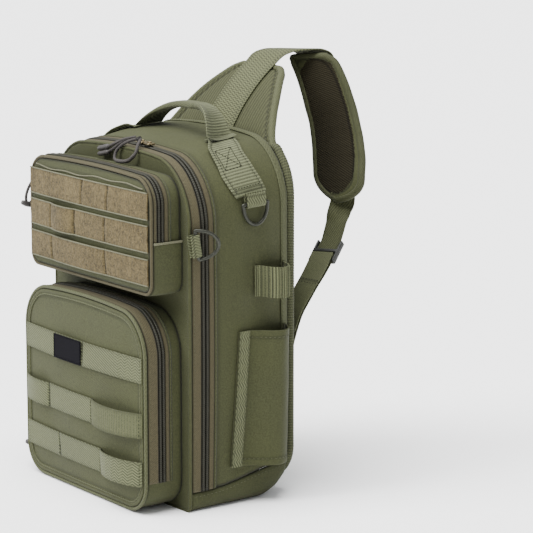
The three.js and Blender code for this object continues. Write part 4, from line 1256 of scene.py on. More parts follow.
@dataclass
class LowerPocket(Pocket):
    """The large pocket with its piped face, three rows of webbing and a bare label."""

    rows: tuple[float, ...] = (134.5, 79.5, 30.5)
    row_height: float = 25.0
    row_span: float = 218.0
    label_x: float = -18.5
    label_size: tuple[float, float, float] = (51.0, 1.2, 25.0)
    # loops of each row: from and to as shares of the half span, how far they bow, and their webbing
    loops: tuple[tuple[tuple[float, float, float, Finish], ...], ...] = (
        ((0.62, 1, 0, CHEVRONS),),
        ((-1, -0.52, 4, STRAP), (0.24, 1, 9.5, LOOPS)),
        ((0.35, 1, 9.5, CHEVRONS),),
    )
    dividers: tuple[tuple[float, ...], ...] = ((-45.5, 8.5), (-57, 26), (-40, 38))

    def _edges(self) -> None:
        """Makes the piping on the face's edge and the fine ridge inside it."""
        edge = ring_of(outline_of(self.arch(), self.tray()), self.rim - self.piping, 140)
        bm = tube(edge, self.piping, 420, 10, flat=BACK)
        make_piece("lower_pocket_edge", bm, BINDING, "sage_webbing", ("lower_pocket_piping",))
        bm = tube(self.rim_route(4.6, 0.35), 2.3, 420, flat=BACK, squash=0.3)
        make_piece("lower_pocket_edge_band", bm, FABRIC, "body_fabric")
        bm = tube(self.rim_route(7.4, 0.3), 0.85, 420, flat=BACK)
        make_piece("lower_pocket_inner_ridge", bm, BINDING, "sage_webbing")

    def _row(self, index: int, stitches: Stitching) -> None:
        """Makes one row of webbing across the face."""
        bottom, half = self.rows[index], self.row_span / 2
        loops, dividers = self.loops[index], self.dividers[index]

        def ribbed(x: float) -> float:
            """Returns 1 on a rib of the ribbed loops, and 0 off them."""
            for low, high, _, finish in loops:
                if finish is LOOPS and low < x / half < high:
                    return rib_at((x - low * half) / LOOPS.pitch)
            return 0.0

        def place(u: float, v: float) -> Vector:
            """Returns where a point of the cloth lies."""
            x = (2 * u - 1) * half
            z = bottom + self.row_height * v
            pinch = sum(bump_at(x, spot, 1.4) for spot in dividers)
            bow = self.bow_at(loops, x / half)
            lean = 0.05 * bow * math.sin(3 * v + x / 40)
            off_face = 0.5 + WEBBING + bow + lean - 0.7 * ribbed(x) - 0.7 * min(1, pinch)
            return Vector((x, self.face(x, z) - off_face, z))

        def seam_and_painted_shade(u: float, v: float) -> float:
            """Returns the painted shade: dark at the sewn dividers, in the grooves between ribs and along the
            row's edges.
            """
            x = (2 * u - 1) * half
            pinch = sum(bump_at(x, spot, 0.8) for spot in dividers)
            rim = 0.3 * (bump_at(v, 0, 0.07) + bump_at(v, 1, 0.07))
            return 0.75 * min(1.0, pinch) + 0.55 * ribbed(x) ** 3 + rim

        bm = shaped_grid(330, 6, place, (self.row_span, self.row_height), seam_and_painted_shade, (0, 0, 100))
        finishes = [STRAP] + [finish for *_, finish in loops]
        for face in bm.faces:
            share = face.calc_center_median().x / MM / half
            for number, (low, high, _, _) in enumerate(loops):
                if low < share < high:
                    face.material_index = number + 1
        name = f"webbing_row_{index + 1}"
        make_piece(f"{name}_strap", bm, finishes, "sage_webbing", (name,), wall=WEBBING - 0.3, rim=0.35)
        for spot in (*dividers, half - 3, -half + 3):
            y = self.face(spot, bottom + 12) - 0.35 - WEBBING - self.bow_at(loops, spot / half)
            line = [Vector((spot + 0.8, y, z)) for z in even(bottom + 1.5, bottom + 23.5, 8)]
            stitches.sew(line, -BACK)
            if abs(spot) < half - 4:
                stitches.sew([point - RIGHT * 1.9 for point in line], -BACK)

    def _label(self) -> None:
        """Makes the bare label patch, sewn on round its edge."""
        centre, (width, thickness, height) = self.label_x, self.label_size
        middle = self.rows[0] + self.row_height / 2
        front = self.face(centre, middle) - 0.5 - WEBBING - 0.5
        bm = bmesh.new()
        add_block(bm, Matrix(), (centre, front - thickness / 2, middle), self.label_size, 0.4)
        face = min(bm.faces, key=lambda f: f.calc_center_median().y)
        bmesh.ops.inset_region(bm, faces=[face], thickness=2.2 * MM, depth=-0.25 * MM)
        make_piece("bare_label", bm, LABEL, "label", ("label_patch",), flat=True)
        stitches = Stitching("label_stitching", LABEL, "label", length=2.0, gap=0.8, width=0.7, height=0.6)
        corners = [Vector((centre + sx * (width / 2 - 1.3), front - 1.3, middle + sz * (height / 2 - 1.3)))
                   for sx, sz in ((-1, -1), (1, -1), (1, 1), (-1, 1), (-1, -1))]
        for start, end in zip(corners, corners[1:]):
            stitches.sew([start, end], -BACK)
        stitches.finish_up()

    def build(self) -> None:
        """Makes the pocket and what is sewn on it."""
        super().build()
        self._edges()
        stitches = Stitching("webbing_row_stitching", DARK_THREAD, length=2.4, gap=0.9, width=0.75)
        for index in range(len(self.rows)):
            self._row(index, stitches)
        stitches.finish_up()
        self._label()


@dataclass
class UpperPocket(Pocket):
    """The small pocket with three bands of loop pile and a boot round its lower side."""

    bands: tuple[float, ...] = (295.0, 263.0, 230.0)
    band_height: float = 27.0
    band_span: float = 219.0
    pile: float = 2.2
    # loops of each band: from and to as shares of the half span, and how far they bow
    loops: tuple[tuple[tuple[float, float, float], ...], ...] = (
        (), ((-0.6, -0.17, 3.5),), ((-0.6, 0.34, 2),),
    )
    dividers: tuple[tuple[float, ...], ...] = ((-6, 41), (-66, -19, 37), (-66, 36))
    boot_height: float = 51.0
    hem_reach: float = 100.0

    def _band(self, index: int, stitches: Stitching) -> None:
        """Makes one band of loop pile, with its bound edges."""
        bottom, half = self.bands[index], self.band_span / 2
        dividers = self.dividers[index]

        def surface(x: float, z: float) -> float:
            """Returns where the front of the band lies."""
            return self.face(x, z) - 0.5 - self.pile - self.bow_at(self.loops[index], x / half)

        def place(u: float, v: float) -> Vector:
            """Returns where a point of the cloth lies."""
            x = (2 * u - 1) * half
            z = bottom + self.band_height * v
            pinch = min(1.0, sum(bump_at(x, spot, 1.5) for spot in dividers))
            rough = 0.35 * noise.noise(Vector((x / 3, z / 3, index)))
            puff = 0.5 * math.sin(math.pi * v)
            return Vector((x, surface(x, z) + 0.6 - puff + 1.1 * pinch + rough, z))

        def seam_and_painted_shade(u: float, v: float) -> float:
            """Returns the painted shade: dark at the sewn dividers and along the band's edges."""
            x = (2 * u - 1) * half
            pinch = sum(bump_at(x, spot, 1.0) for spot in dividers)
            return 0.7 * min(1.0, pinch) + 0.25 * (bump_at(v, 0, 0.05) + bump_at(v, 1, 0.05))

        bm = shaped_grid(190, 18, place, (self.band_span, self.band_height), seam_and_painted_shade, (0, 0, 250))
        name = f"loop_band_{index + 1}"
        make_piece(f"{name}_pile", bm, LOOP_PILE, "loop_fabric", (name,), wall=1.6, rim=0.4)
        for number, z in enumerate((bottom + 0.5, bottom + self.band_height - 0.5)):
            points = [Vector((x, surface(x, z) + 0.6, z)) for x in even(-half, half, 60)]
            bm = tube(Route(points), 0.7, 150, 6, flat=UP)
            make_piece(f"{name}_edge_{number + 1}", bm, EDGE, "sage_webbing")
        for spot in dividers:
            y = surface(spot, bottom + 13) + 1.1
            stitches.sew([Vector((spot + 0.4, y, z)) for z in even(bottom + 2, bottom + 25, 8)], -BACK)

    def _boot(self) -> None:
        """Makes the cloth that wraps the lower side, with its bound top edge."""
        front, back = self.back - self.depth + SEAT, self.back
        tray = self.tray(self.boot_height)

        def place(u: float, v: float) -> Vector:
            """Returns where a point of the cloth lies."""
            y = front + (back - front) * v
            along = (2 * u - 1) * tray.half_length
            slack = 0.5 * noise.noise(Vector((along / 25, y / 14, 4)))
            return tray.at(along, y, SEAT + 1.7 + 0.5 * math.sin(math.pi * v) + slack)

        def seam_and_painted_shade(u: float, v: float) -> float:
            """Returns the painted shade: dark along the boot's back and front edges."""
            return 0.6 * bump_at(v, 1, 0.04) + 0.4 * bump_at(v, 0, 0.04)

        cloth = (2 * tray.half_length, back - front)
        bm = shaped_grid(130, 14, place, cloth, seam_and_painted_shade, (0, self.back - 15, 270))
        make_piece("upper_pocket_boot_cloth", bm, FABRIC, "body_fabric", ("upper_pocket_boot",), wall=1.5)
        for name, side in (("left", -1), ("right", 1)):
            end = side * (tray.half_length - 0.2)
            line = Route([tray.at(end, y, SEAT + 1.5) for y in even(front, back, 10)])
            bm = tube(line, 1.3, 40, flat=RIGHT)
            make_piece(f"upper_pocket_boot_edge_{name}", bm, EDGE, "sage_webbing")

    def build(self) -> None:
        """Makes the pocket and what is sewn on it."""
        super().build()
        edge = ring_of(outline_of(self.arch(), self.tray()), self.rim - 1.2, 140)
        make_piece("upper_pocket_edge", tube(edge, 1.6, 420, flat=BACK), ZIP_TAPE, "zip_tape")
        hem = []
        for x in even(-self.hem_reach, self.hem_reach, 48):
            z = self.bands[0] + self.band_height + 3.2 + 0.8 * math.sin(x / 9) + 1.2 * math.sin(x / 31)
            hem.append(Vector((x, self.face(x, z) - 0.3, z)))
        make_piece("upper_pocket_hem", tube(Route(hem), 0.75, 200, 6, flat=UP), EDGE, "sage_webbing")
        stitches = Stitching("loop_band_stitching", DARK_THREAD, "loop_fabric", length=2.4, gap=0.9)
        for index in range(len(self.bands)):
            self._band(index, stitches)
        stitches.finish_up()
        self._boot()


@dataclass
class SideStraps:
    """The straps down both shoulders of the bag, with their rings, and the rings beside the zip."""

    front: float = -13.0
    back: float = 33.0
    wire: float = 1.8
    ring_width: float = 29.0
    ring_reach: float = 21.0
    tab_width: float = 22.0
    tab_height: float = 268.0
    cloth: tuple[float, float] = (78, 42)
    lip: float = 5.0
    # share of the body's corner, then the front and back edge as shares of the width
    rows: tuple[tuple[float, ...], ...] = (
        (-0.1, 0.34, 0.93), (0.03, 0.28, 0.93), (0.2, 0.06, 0.87), (0.35, 0.01, 0.8), (0.54, 0, 0.84),
        (0.7, 0.08, 0.93), (0.83, 0.2, 1),
    )

    def _spot(self, side: int, down: float, over: float, lift: float) -> Vector:
        """Returns a point on a strap, from its shares down and across it."""
        corner = self.rows[0][0] + (self.rows[-1][0] - self.rows[0][0]) * down
        lift += self.lip * bump_at(over, 0, 0.09) * clamp(1 - down / 0.7, 0, 1) * clamp(down / 0.16, 0, 1)
        low, high = read_smooth(self.rows, corner)
        y = self.front + (low + (high - low) * over) * (self.back - self.front)
        arch = BODY.arch(y)
        flat = arch.half_width - arch.radius
        return arch.at(side * (flat + corner * arch.radius * math.pi / 2), y, lift)

    def _strap(self, name: str, side: int) -> None:
        """Makes one strap with its crossed box of stitches."""
        def place(u: float, v: float) -> Vector:
            """Returns where a point of the cloth lies."""
            fold = 0.5 * bump_at(v, 0.06, 0.05) + 0.5 * bump_at(v, 0.94, 0.05)
            return self._spot(side, u, v, SEAT + 0.3 + WEBBING + 0.3 * fold)

        def seam_and_painted_shade(u: float, v: float) -> float:
            """Returns the painted shade: dark along the strap's edges and near its lower end, and in a patch
            near its top behind the raised front lip.
            """
            edges = 0.35 * (bump_at(v, 0.12, 0.02) + bump_at(v, 0.88, 0.02)) + 0.4 * bump_at(u, 0.94, 0.02)
            return edges + 0.75 * bump_at(u, 0.05, 0.22) * bump_at(v, 0.33, 0.2)

        bm = shaped_grid(60, 36, place, self.cloth, seam_and_painted_shade, (0, 10, 250))
        make_piece(f"side_strap_{name}_webbing", bm, RIDGES, "sage_webbing", (f"side_strap_{name}",),
                   wall=WEBBING - 0.3, rim=0.35)
        stitches = Stitching(f"side_strap_{name}_stitching", DARK_THREAD, length=3.2, gap=0.2, width=0.95)
        corners = [(0.36, 0.17), (0.36, 0.68), (0.66, 0.68), (0.66, 0.17)]
        runs = [(0, 1), (1, 2), (2, 3), (3, 0), (0, 2), (1, 3)]
        edges = [((0.05, 0.09), (0.95, 0.09)), ((0.05, 0.91), (0.95, 0.91)), ((0.9, 0.1), (0.9, 0.9))]
        lines = [(corners[a], corners[b]) for a, b in runs] + edges
        for (u0, v0), (u1, v1) in lines:
            points = [self._spot(side, u, v, SEAT + 0.45 + WEBBING)
                      for u, v in zip(even(u0, u1, 12), even(v0, v1, 12))]
            stitches.sew(points, (points[0] - Vector((0, points[0].y, 300))).normalized())
        stitches.finish_up()

    @property
    def _fold(self) -> float:
        """Radius of a tab's fold round its ring."""
        return self.wire + 0.5 + WEBBING * 0.8

    def _tab(self, name: str, start: Vector, toward: Vector, out: Vector, along: Vector,
             length: float) -> None:
        """Makes a webbing tab folded round a ring's bar.

        Args:
            name: the node that it stands for.
            start: the middle of its lower end.
            toward: the direction from there to the ring.
            out: the direction off the bag.
            along: the direction across the tab.
            length: from its end to the ring.
        """
        radius = self._fold
        arc = math.pi * radius
        total = 2 * length + arc

        def place(u: float, v: float) -> Vector:
            """Returns where a point of the cloth lies."""
            reach = u * total
            if reach < length:
                forth, off = reach, 0.0
            elif reach < length + arc:
                turn = (reach - length) / radius
                forth, off = length + radius * math.sin(turn), radius * (1 - math.cos(turn))
            else:
                forth, off = length - (reach - length - arc), 2 * radius
            pinch = 0.5 * bump_at(forth, 2.5, 1.0) * (1 if off > radius else -1)
            return start + toward * forth + out * (off - pinch) + along * ((v - 0.5) * self.tab_width)

        def seam_and_painted_shade(u: float, v: float) -> float:
            """Returns the painted shade: dark along a line near the tab's end."""
            return 0.5 * bump_at(u * total, total - 2.5, 0.8)

        heart = start + out * radius + toward * length
        bm = shaped_grid(44, 10, place, (total, self.tab_width), seam_and_painted_shade, heart)
        make_piece(f"{name}_webbing", bm, CHEVRONS, "sage_webbing", (name,), wall=WEBBING * 0.8, rim=0.3)

    def _ring(self, name: str, centre: Vector, along: Vector, swing: Vector) -> None:
        """Makes a D ring with its bar in the tab, as a round wire swept along its line."""
        half = self.ring_width / 2
        bow = [centre + along * (half * math.sin(t)) + swing * (self.ring_reach * math.cos(t))
               for t in even(-math.pi / 2, math.pi / 2, 24)]
        bar = [centre + along * (half * s) for s in (0.6, 0.2, -0.2, -0.6)]
        bm = tube(Route(bow + bar, closed=True), self.wire, 120, 12, flat=swing.cross(along).normalized())
        make_piece(f"{name}_wire", bm, STEEL, "ring_steel", (name,))

    def build(self) -> None:
        """Makes the straps, tabs and rings of both sides."""
        gap, down_length, back_length = self._fold, 11, 8
        for name, side in (("right", 1), ("left", -1)):
            self._strap(name, side)
            out = RIGHT * side
            ring_y = self.back - (self.back - self.front) * 0.3
            arch = BODY.arch(ring_y)
            end = arch.half_width - arch.radius + self.rows[-1][0] * arch.radius * math.pi / 2
            under = arch.at(end, ring_y).z - WEBBING
            x = BODY.side(1, ring_y, under - down_length, 0).x + SEAT
            start = Vector((side * x, ring_y - 4, under + 4))
            down, back, up = Vector((0, 0.06, -1)), Vector((0, 1, 0.06)), Vector((0, -0.16, 0.99))
            self._tab(f"side_ring_tab_{name}", start, down, out, back, down_length)
            self._ring(f"side_d_ring_{name}", start + down * down_length + out * gap, back, down)
            tab_y = BODY.front - 4
            x = BODY.side(1, tab_y + 8, self.tab_height, 0.9 + 2 * SEAT).x
            start = Vector((side * x, tab_y, self.tab_height))
            back = Vector((0, 0.99, 0.16))
            self._tab(f"zip_ring_tab_{name}", start, back, out, up, back_length)
            swing = Vector((side * 0.5, 0.85, 0.1)).normalized()
            self._ring(f"zip_d_ring_{name}", start + back * back_length + out * gap, up, swing)


@dataclass
class CarryHandle:
    """The webbing handle on top, rolled in its middle and flat at its feet."""

    half_span: float = 75.0
    rise: float = 31.5
    thickness: float = 7.0
    foot: float = 34.0
    # where the height of its feet is read
    middle: float = 8.0
    curl: float = 5.5
    # how far across its cloth turns into ridged webbing
    ridged_from: float = 34.0
    # share across, share of the rise, share of the foot's width, and depth
    rows: tuple[tuple[float, ...], ...] = (
        (-0.95, 0, 1, 23), (-0.86, 0.2, 0.92, 23), (-0.7, 0.46, 0.78, 23), (-0.47, 0.72, 0.6, 22.5),
        (-0.18, 0.92, 0.5, 22), (0.15, 1, 0.48, 21), (0.48, 0.98, 0.5, 19), (0.7, 0.82, 0.6, 17),
        (0.82, 0.56, 0.75, 15.5), (0.9, 0.27, 0.9, 14.8), (0.96, 0.07, 1, 14.5), (1.05, 0.05, 1, 14.5),
    )

    def build(self) -> None:
        """Makes the handle."""
        foot_z = BODY.arch(self.middle).at(self.half_span, self.middle, SEAT).z
        line = Route([Vector((self.half_span * across, y, foot_z + self.rise * rise))
                      for across, rise, _, y in self.rows])
        widths = [(mark / line.length, row[2]) for mark, row in zip(line.marks, self.rows)]
        narrowest = min(width for _, width in widths)

        def section(u: float) -> tuple[float, float]:
            """Returns half the width and half the thickness."""
            width = read_smooth(widths, u)[0]
            rolled = (1 - width) / (1 - narrowest)
            return self.foot / 2 * width, (WEBBING + (self.thickness - WEBBING) * rolled) / 2

        def place(u: float, v: float) -> Vector:
            """Returns where a point of the cloth lies."""
            half, thick = section(u)
            tangent = line.tangent(u)
            normal = Vector((-tangent.z, 0, tangent.x))
            across, out = boxy(v, 0.55, 0.55)
            curl = self.curl * clamp((u - 0.6) / 0.12, 0, 1) * (1 if across < 0 else 0.4) * across * across
            spot = line.at(u) + Vector((0, half * across, 0)) + normal * (thick * out + curl)
            floor = BODY.arch(spot.y).at(spot.x, spot.y, SEAT).z + 0.25
            if u > 0.8:
                floor += WEBBING + 0.8 + curl
            if spot.z < floor or u in (0, 1):
                spot.z = floor
            return spot

        def seam_and_painted_shade(u: float, v: float) -> float:
            """Returns the painted shade: dark in a rippled channel along the top of the ridged leg, along two
            lines at its edges and along its underside.
            """
            ridged = (0.65 + 0.35 * math.sin(u * 330)) * clamp((u - 0.68) / 0.1, 0, 1)
            channel = 0.6 * bump_at(v, 0.27, 0.12) * ridged
            hems = 0.3 * (bump_at(v, 0.07, 0.02) + bump_at(v, 0.43, 0.02))
            return channel + hems + 0.4 * bump_at(v, 0.75, 0.02)

        bm = shaped_grid(140, 36, place, (line.length, 70), seam_and_painted_shade)
        for face in bm.faces:
            face.material_index = int(face.calc_center_median().x > self.ridged_from * MM)
        close_up(bm)
        make_piece("carry_handle_webbing", bm, [STRAP, RIDGES], "sage_webbing", ("carry_handle",))


@dataclass
class RodHolder:
    """The ribbed loop and the long sleeve on the right side, with the tape on its front edge."""

    loop_front: float = 16.0
    loop_back: float = 56.0
    loop_bottom: float = 211.0
    loop_height: float = 31.0
    loop_reach: float = 24.0
    loop_length: float = 78.0
    rib_pitch: float = 4.3
    sleeve_front: float = -8.0
    sleeve_back: float = 57.0
    sleeve_bottom: float = 40.0
    sleeve_height: float = 138.0
    sleeve_reach: float = 20.0
    sleeve_length: float = 92.0
    tape_width: float = 12.0
    lean: float = 4.0
    # share along, then share of the bow
    loop_rows: tuple[tuple[float, float], ...] = (
        (0, 0), (0.1, 0.02), (0.2, 0.5), (0.36, 0.9), (0.52, 1), (0.68, 0.9), (0.84, 0.5), (0.93, 0.02),
        (1, 0),
    )
    sleeve_rows: tuple[tuple[float, float], ...] = (
        (0, 0), (0.2, 0.01), (0.36, 0.36), (0.52, 0.8), (0.68, 1), (0.84, 0.8), (0.95, 0.3), (1, 0),
    )

    def _loop(self) -> None:
        """Makes the ribbed loop that holds the upper end of a rod."""
        def ribs(u: float) -> float:
            """Returns 1 on a rib and 0 between two."""
            return rib_at(u * self.loop_length / self.rib_pitch)

        def place(u: float, v: float) -> Vector:
            """Returns where a point of the cloth lies."""
            bow = read_smooth(self.loop_rows, u)[0]
            y = self.loop_front + (self.loop_back - self.loop_front) * u
            z = self.loop_bottom + self.loop_height * v
            flare = 0.6 * abs(2 * v - 1) ** 3 * bow
            return BODY.side(1, y, z, SEAT + 0.3 + bow * self.loop_reach + CLOTH - 0.9 * ribs(u) - flare)

        cloth = (self.loop_length, self.loop_height)
        # the last number is painted shade in the grooves between ribs
        bm = shaped_grid(170, 10, place, cloth, lambda u, v: 0.8 * ribs(u) ** 4, (110, 36, 224))
        make_piece("rod_loop_webbing", bm, LOOPS, "sage_webbing", ("rod_loop",), wall=1.2, rim=0.4)

    def _sleeve(self) -> None:
        """Makes the sleeve with hemmed ends, and its tape."""
        def spot(u: float, v: float, lift: float) -> Vector:
            """Returns a point of the sleeve, lifted off it."""
            bow = read_smooth(self.sleeve_rows, u)[0]
            front = self.sleeve_front + self.lean * (2 * v - 1)
            y = front + (self.sleeve_back - front) * u
            z = self.sleeve_bottom + self.sleeve_height * v
            return BODY.side(1, y, z, SEAT + 0.3 + bow * self.sleeve_reach + lift)

        def place(u: float, v: float) -> Vector:
            """Returns where a point of the cloth lies."""
            bow = read_smooth(self.sleeve_rows, u)[0]
            slack = 1.3 * noise.noise(Vector((u * 3, v * 4, 3))) * bow
            hem = 0.5 * (bump_at(v, 0.03, 0.02) + bump_at(v, 0.97, 0.02))
            return spot(u, v, WEBBING - 0.4 + slack + hem)

        def seam_and_painted_shade(u: float, v: float) -> float:
            """Returns the painted shade: dark along the hems at both ends and along the back edge."""
            hems = bump_at(v, 0.055, 0.008) + bump_at(v, 0.945, 0.008)
            return 0.45 * hems + 0.5 * bump_at(u, 0.965, 0.012)

        bm = shaped_grid(70, 80, place, (self.sleeve_length, self.sleeve_height), seam_and_painted_shade, (110, 25, 110))
        make_piece("rod_sleeve_cloth", bm, FABRIC, "body_fabric", ("rod_sleeve",), wall=1.1)

        def tape(u: float, v: float) -> Vector:
            """Returns where a point of the tape lies."""
            y = self.sleeve_front + self.lean * (2 * u - 1) + self.tape_width * v
            lift = SEAT + 0.3 + WEBBING + SEAT + WEBBING + 0.15 * math.sin(math.pi * v)
            return BODY.side(1, y, self.sleeve_bottom + self.sleeve_height * u, lift)

        def edges(u: float, v: float) -> float:
            """Returns the painted shade: dark along the tape's edges."""
            return 0.3 * (bump_at(v, 0, 0.1) + bump_at(v, 1, 0.1))

        bm = shaped_grid(90, 8, tape, (self.sleeve_height, self.tape_width), edges, (0, 0, 110))
        make_piece("rod_sleeve_tape_webbing", bm, CHEVRONS, "sage_webbing", ("rod_sleeve_tape",),
                   wall=WEBBING - 0.4, rim=0.3)
        stitches = Stitching("rod_holder_stitching", length=3, gap=1.3, width=0.7)
        for v in (0.05, 0.95):
            stitches.sew([spot(u, v, WEBBING + 0.1) for u in even(0, 1, 30)], RIGHT)
        for v in (0.14, 0.86):
            stitches.sew([tape(u, v) + RIGHT * 0.1 for u in even(0, 1, 30)], RIGHT)
        stitches.finish_up()

    def build(self) -> None:
        """Makes the rod holder."""
        self._loop()
        self._sleeve()


@dataclass
class BackPanel:
    """The padded back panel with its sewn channels and bound edge."""

    front: float = 60.3
    thickness: float = 9.0
    bottom: float = 24.0
    top: float = 352.0
    corner: float = 30.0
    # heights of the channels across, and how far out the two upright ones lie between them
    channels: tuple[float, float] = (118.0, 228.0)
    upright: float = 36.0
    rib_pitch: float = 2.7

    def _half_width(self, z: float) -> float:
        """Returns half the panel's width at a height."""
        arch = BODY.arch(BODY.back)
        from_top = clamp(arch.apex + arch.crown * 0.5 - z, 0, arch.radius)
        from_bottom = clamp(z - self.bottom + self.thickness / 2, 0, self.corner)

        def shrink(radius: float, distance: float) -> float:
            """Returns how much a rounded corner takes off at a distance from its end."""
            return radius - math.sqrt(max(0.0, radius ** 2 - (radius - distance) ** 2))

        return arch.half_width - shrink(arch.radius, from_top) - shrink(self.corner, from_bottom)

    def _level(self, v: float) -> float:
        """Returns the height at a share up the panel."""
        return self.bottom + (self.top - self.bottom) * v

    def _between(self, z: float) -> bool:
        """Says whether a height lies between the two channels."""
        return self.channels[0] < z < self.channels[1]

    def build(self) -> None:
        """Makes the pad and its binding."""
        def place(u: float, v: float) -> Vector:
            """Returns where a point of the cloth lies."""
            z = self._level(v)
            half = self._half_width(z) - 0.5
            across, out = boxy(u, 0.35, 0.5)
            edge = clamp(min(v, 1 - v) / 0.012, 0.25, 1)
            y = self.front + self.thickness / 2 + out * (self.thickness / 2 - 0.4) * edge
            if out > 0:
                y -= 3.2 * out * min(1.0, sum(bump_at(z, level, 4.5) for level in self.channels))
                y -= 3.0 * out * bump_at(abs(across) * half, self.upright, 4.0) * self._between(z)
            return Vector((across * half, y, z))

        def seam_and_painted_shade(u: float, v: float) -> float:
            """Returns the painted shade: dark in the sewn channels on the panel's outer face."""
            z = self._level(v)
            spot = place(u, v)
            deep = min(1.0, sum(bump_at(z, level, 2.2) for level in self.channels))
            deep = max(deep, bump_at(abs(spot.x), self.upright, 2.2) * self._between(z))
            return 0.6 * deep * (spot.y > self.front + self.thickness / 2)

        bm = shaped_grid(150, 110, place, lambda u, v: (place(u, v).x, place(u, v).z), seam_and_painted_shade)
        close_up(bm)
        piece = make_piece("back_panel_pad", bm, BACK_MESH, "mesh_lining", ("back_pad",))
        heart = self.front + self.thickness / 2

        def held(spot: Vector) -> bool:
            """Says whether a corner is sewn down."""
            z = spot.z
            if spot.y < heart + 1.5 or min(z - self.bottom, self.top - z) < 3:
                return True
            sewn = any(abs(z - level) < 3 for level in self.channels)
            return sewn or (self._between(z) and abs(abs(spot.x) - self.upright) < 2.5)

        inflate(piece, held, pressure=3.5, cap=2.5)
        edge = [Vector((self._half_width(z) - 0.6, heart + 0.4, z)) for z in even(self.bottom, self.top, 40)]
        loop = edge + [Vector((-p.x, p.y, p.z)) for p in reversed(edge)]
        rim = Route(loop, closed=True)
        count = round(rim.length / self.rib_pitch)

        # the binding's last argument is painted shade in the grooves between its ribs
        bm = tube(rim, 4.3, count * 4, 12, swell=lambda u: 1 - 0.09 * rib_at(u * count), flat=BACK,
                  squash=1.06, seam_and_painted_shade=lambda u, v: 0.7 * rib_at(u * count) ** 2)
        make_piece("back_panel_binding", bm, BINDING, "sage_webbing")


@dataclass
class Yoke:
    """The padded harness panel that leans back above the body, and the webbing over it."""

    base: float = 352.3
    front: float = 60.3
    height: float = 71.0
    lean: float = 57.0
    half_width: float = 97.0
    thickness: float = 7.0
    foot_thickness: float = 9.0
    web_width: float = 50.0
    cloth_length: float = 92.0
    # shares of the height, of the lean and of the half width, and how far it has thinned from its foot
    rows: tuple[tuple[float, ...], ...] = (
        (0, 0, 1, 0), (0.127, 0.07, 0.92, 0.3), (0.41, 0.29, 0.78, 0.7), (0.65, 0.53, 0.65, 1),
        (0.84, 0.76, 0.52, 1), (0.95, 0.92, 0.43, 1), (1, 1, 0.33, 1),
    )

    def frame_at(self, rise: float) -> tuple[Vector, Vector, float, float]:
        """Reads the panel at a share of its height.

        Args:
            rise: the share of the height.

        Returns:
            A point on its front, the normal there, half the width and the thickness.
        """
        lean, width, thin = read_smooth(self.rows, rise)
        below, above = max(0, rise - 0.01), min(1, rise + 0.01)
        slope = (read_smooth(self.rows, above)[0] - read_smooth(self.rows, below)[0]) / (above - below)
        tangent = Vector((0, slope * self.lean, self.height)).normalized()
        if rise == 0:
            tangent = UP
        spot = Vector((0, self.front + lean * self.lean, self.base + rise * self.height))
        thickness = self.foot_thickness + thin * (self.thickness - self.foot_thickness)
        return spot, Vector((0, -tangent.z, tangent.y)), self.half_width * width, thickness

    def _pad(self) -> None:
        """Makes the padded panel, bound at its edge."""
        def place(u: float, v: float) -> Vector:
            """Returns where a point of the cloth lies."""
            spot, normal, half, thick = self.frame_at(v)
            across, out = boxy(u, 0.3, 0.5)
            edge = clamp(min(v + 0.2, 1 - v) / 0.05, 0.2, 1)
            tuck = 1.6 * bump_at(abs(across) * half, half - 9, 1.8) * (out > 0)
            off = out * (thick / 2 - 0.5) * edge - tuck - thick / 2
            return spot + RIGHT * (across * (half - 0.8)) + normal * off

        def seam_and_painted_shade(u: float, v: float) -> float:
            """Returns the painted shade: dark along the sewn tucks near both sides."""
            spot = place(u, v)
            half = self.frame_at(v)[2]
            return 0.7 * bump_at(abs(spot.x), half - 9.5, 1.3)

        bm = shaped_grid(110, 40, place, lambda u, v: (place(u, v).x, v * self.cloth_length), seam_and_painted_shade)
        close_up(bm)
        piece = make_piece("yoke_pad", bm, RIB_FABRIC, "body_fabric", ("yoke_panel",))

        def held(spot: Vector) -> bool:
            """Says whether a corner is sewn down."""
            rise = clamp((spot.z - self.base) / self.height, 0, 1)
            half = self.frame_at(rise)[2]
            return abs(spot.x) > half - 11 or rise < 0.04 or rise > 0.95

        inflate(piece, held, pressure=3.0, cap=1.6)

    def _binding(self) -> None:
        """Makes the binding round the panel's free edges."""
        side = []
        for number in range(31):
            spot, normal, half, thick = self.frame_at(number / 30)
            side.append(spot - normal * (thick / 2) + Vector((half - 1.2, 0, 0)))
        path = [Vector((-p.x, p.y, p.z)) for p in side] + [Vector((p.x, p.y, p.z)) for p in reversed(side)]
        bm = tube(Route(path), 3.9, 300, 12, flat=Vector((0, 0.6, 0.8)), squash=0.95)
        make_piece("yoke_binding", bm, BINDING, "sage_webbing")
        stitches = Stitching("yoke_stitching", length=3, gap=1.3, width=0.7)
        for sign in (-1, 1):
            line, outs = [], []
            for number in range(2, 30):
                spot, normal, half, _ = self.frame_at(number / 30)
                line.append(spot + Vector((sign * (half - 6.4), 0, 0)) + normal * 0.1)
                outs.append(normal)
            stitches.sew(line, outs)
        stitches.finish_up()

    def build(self) -> None:
        """Makes the panel and its binding."""
        self._pad()
        self._binding()


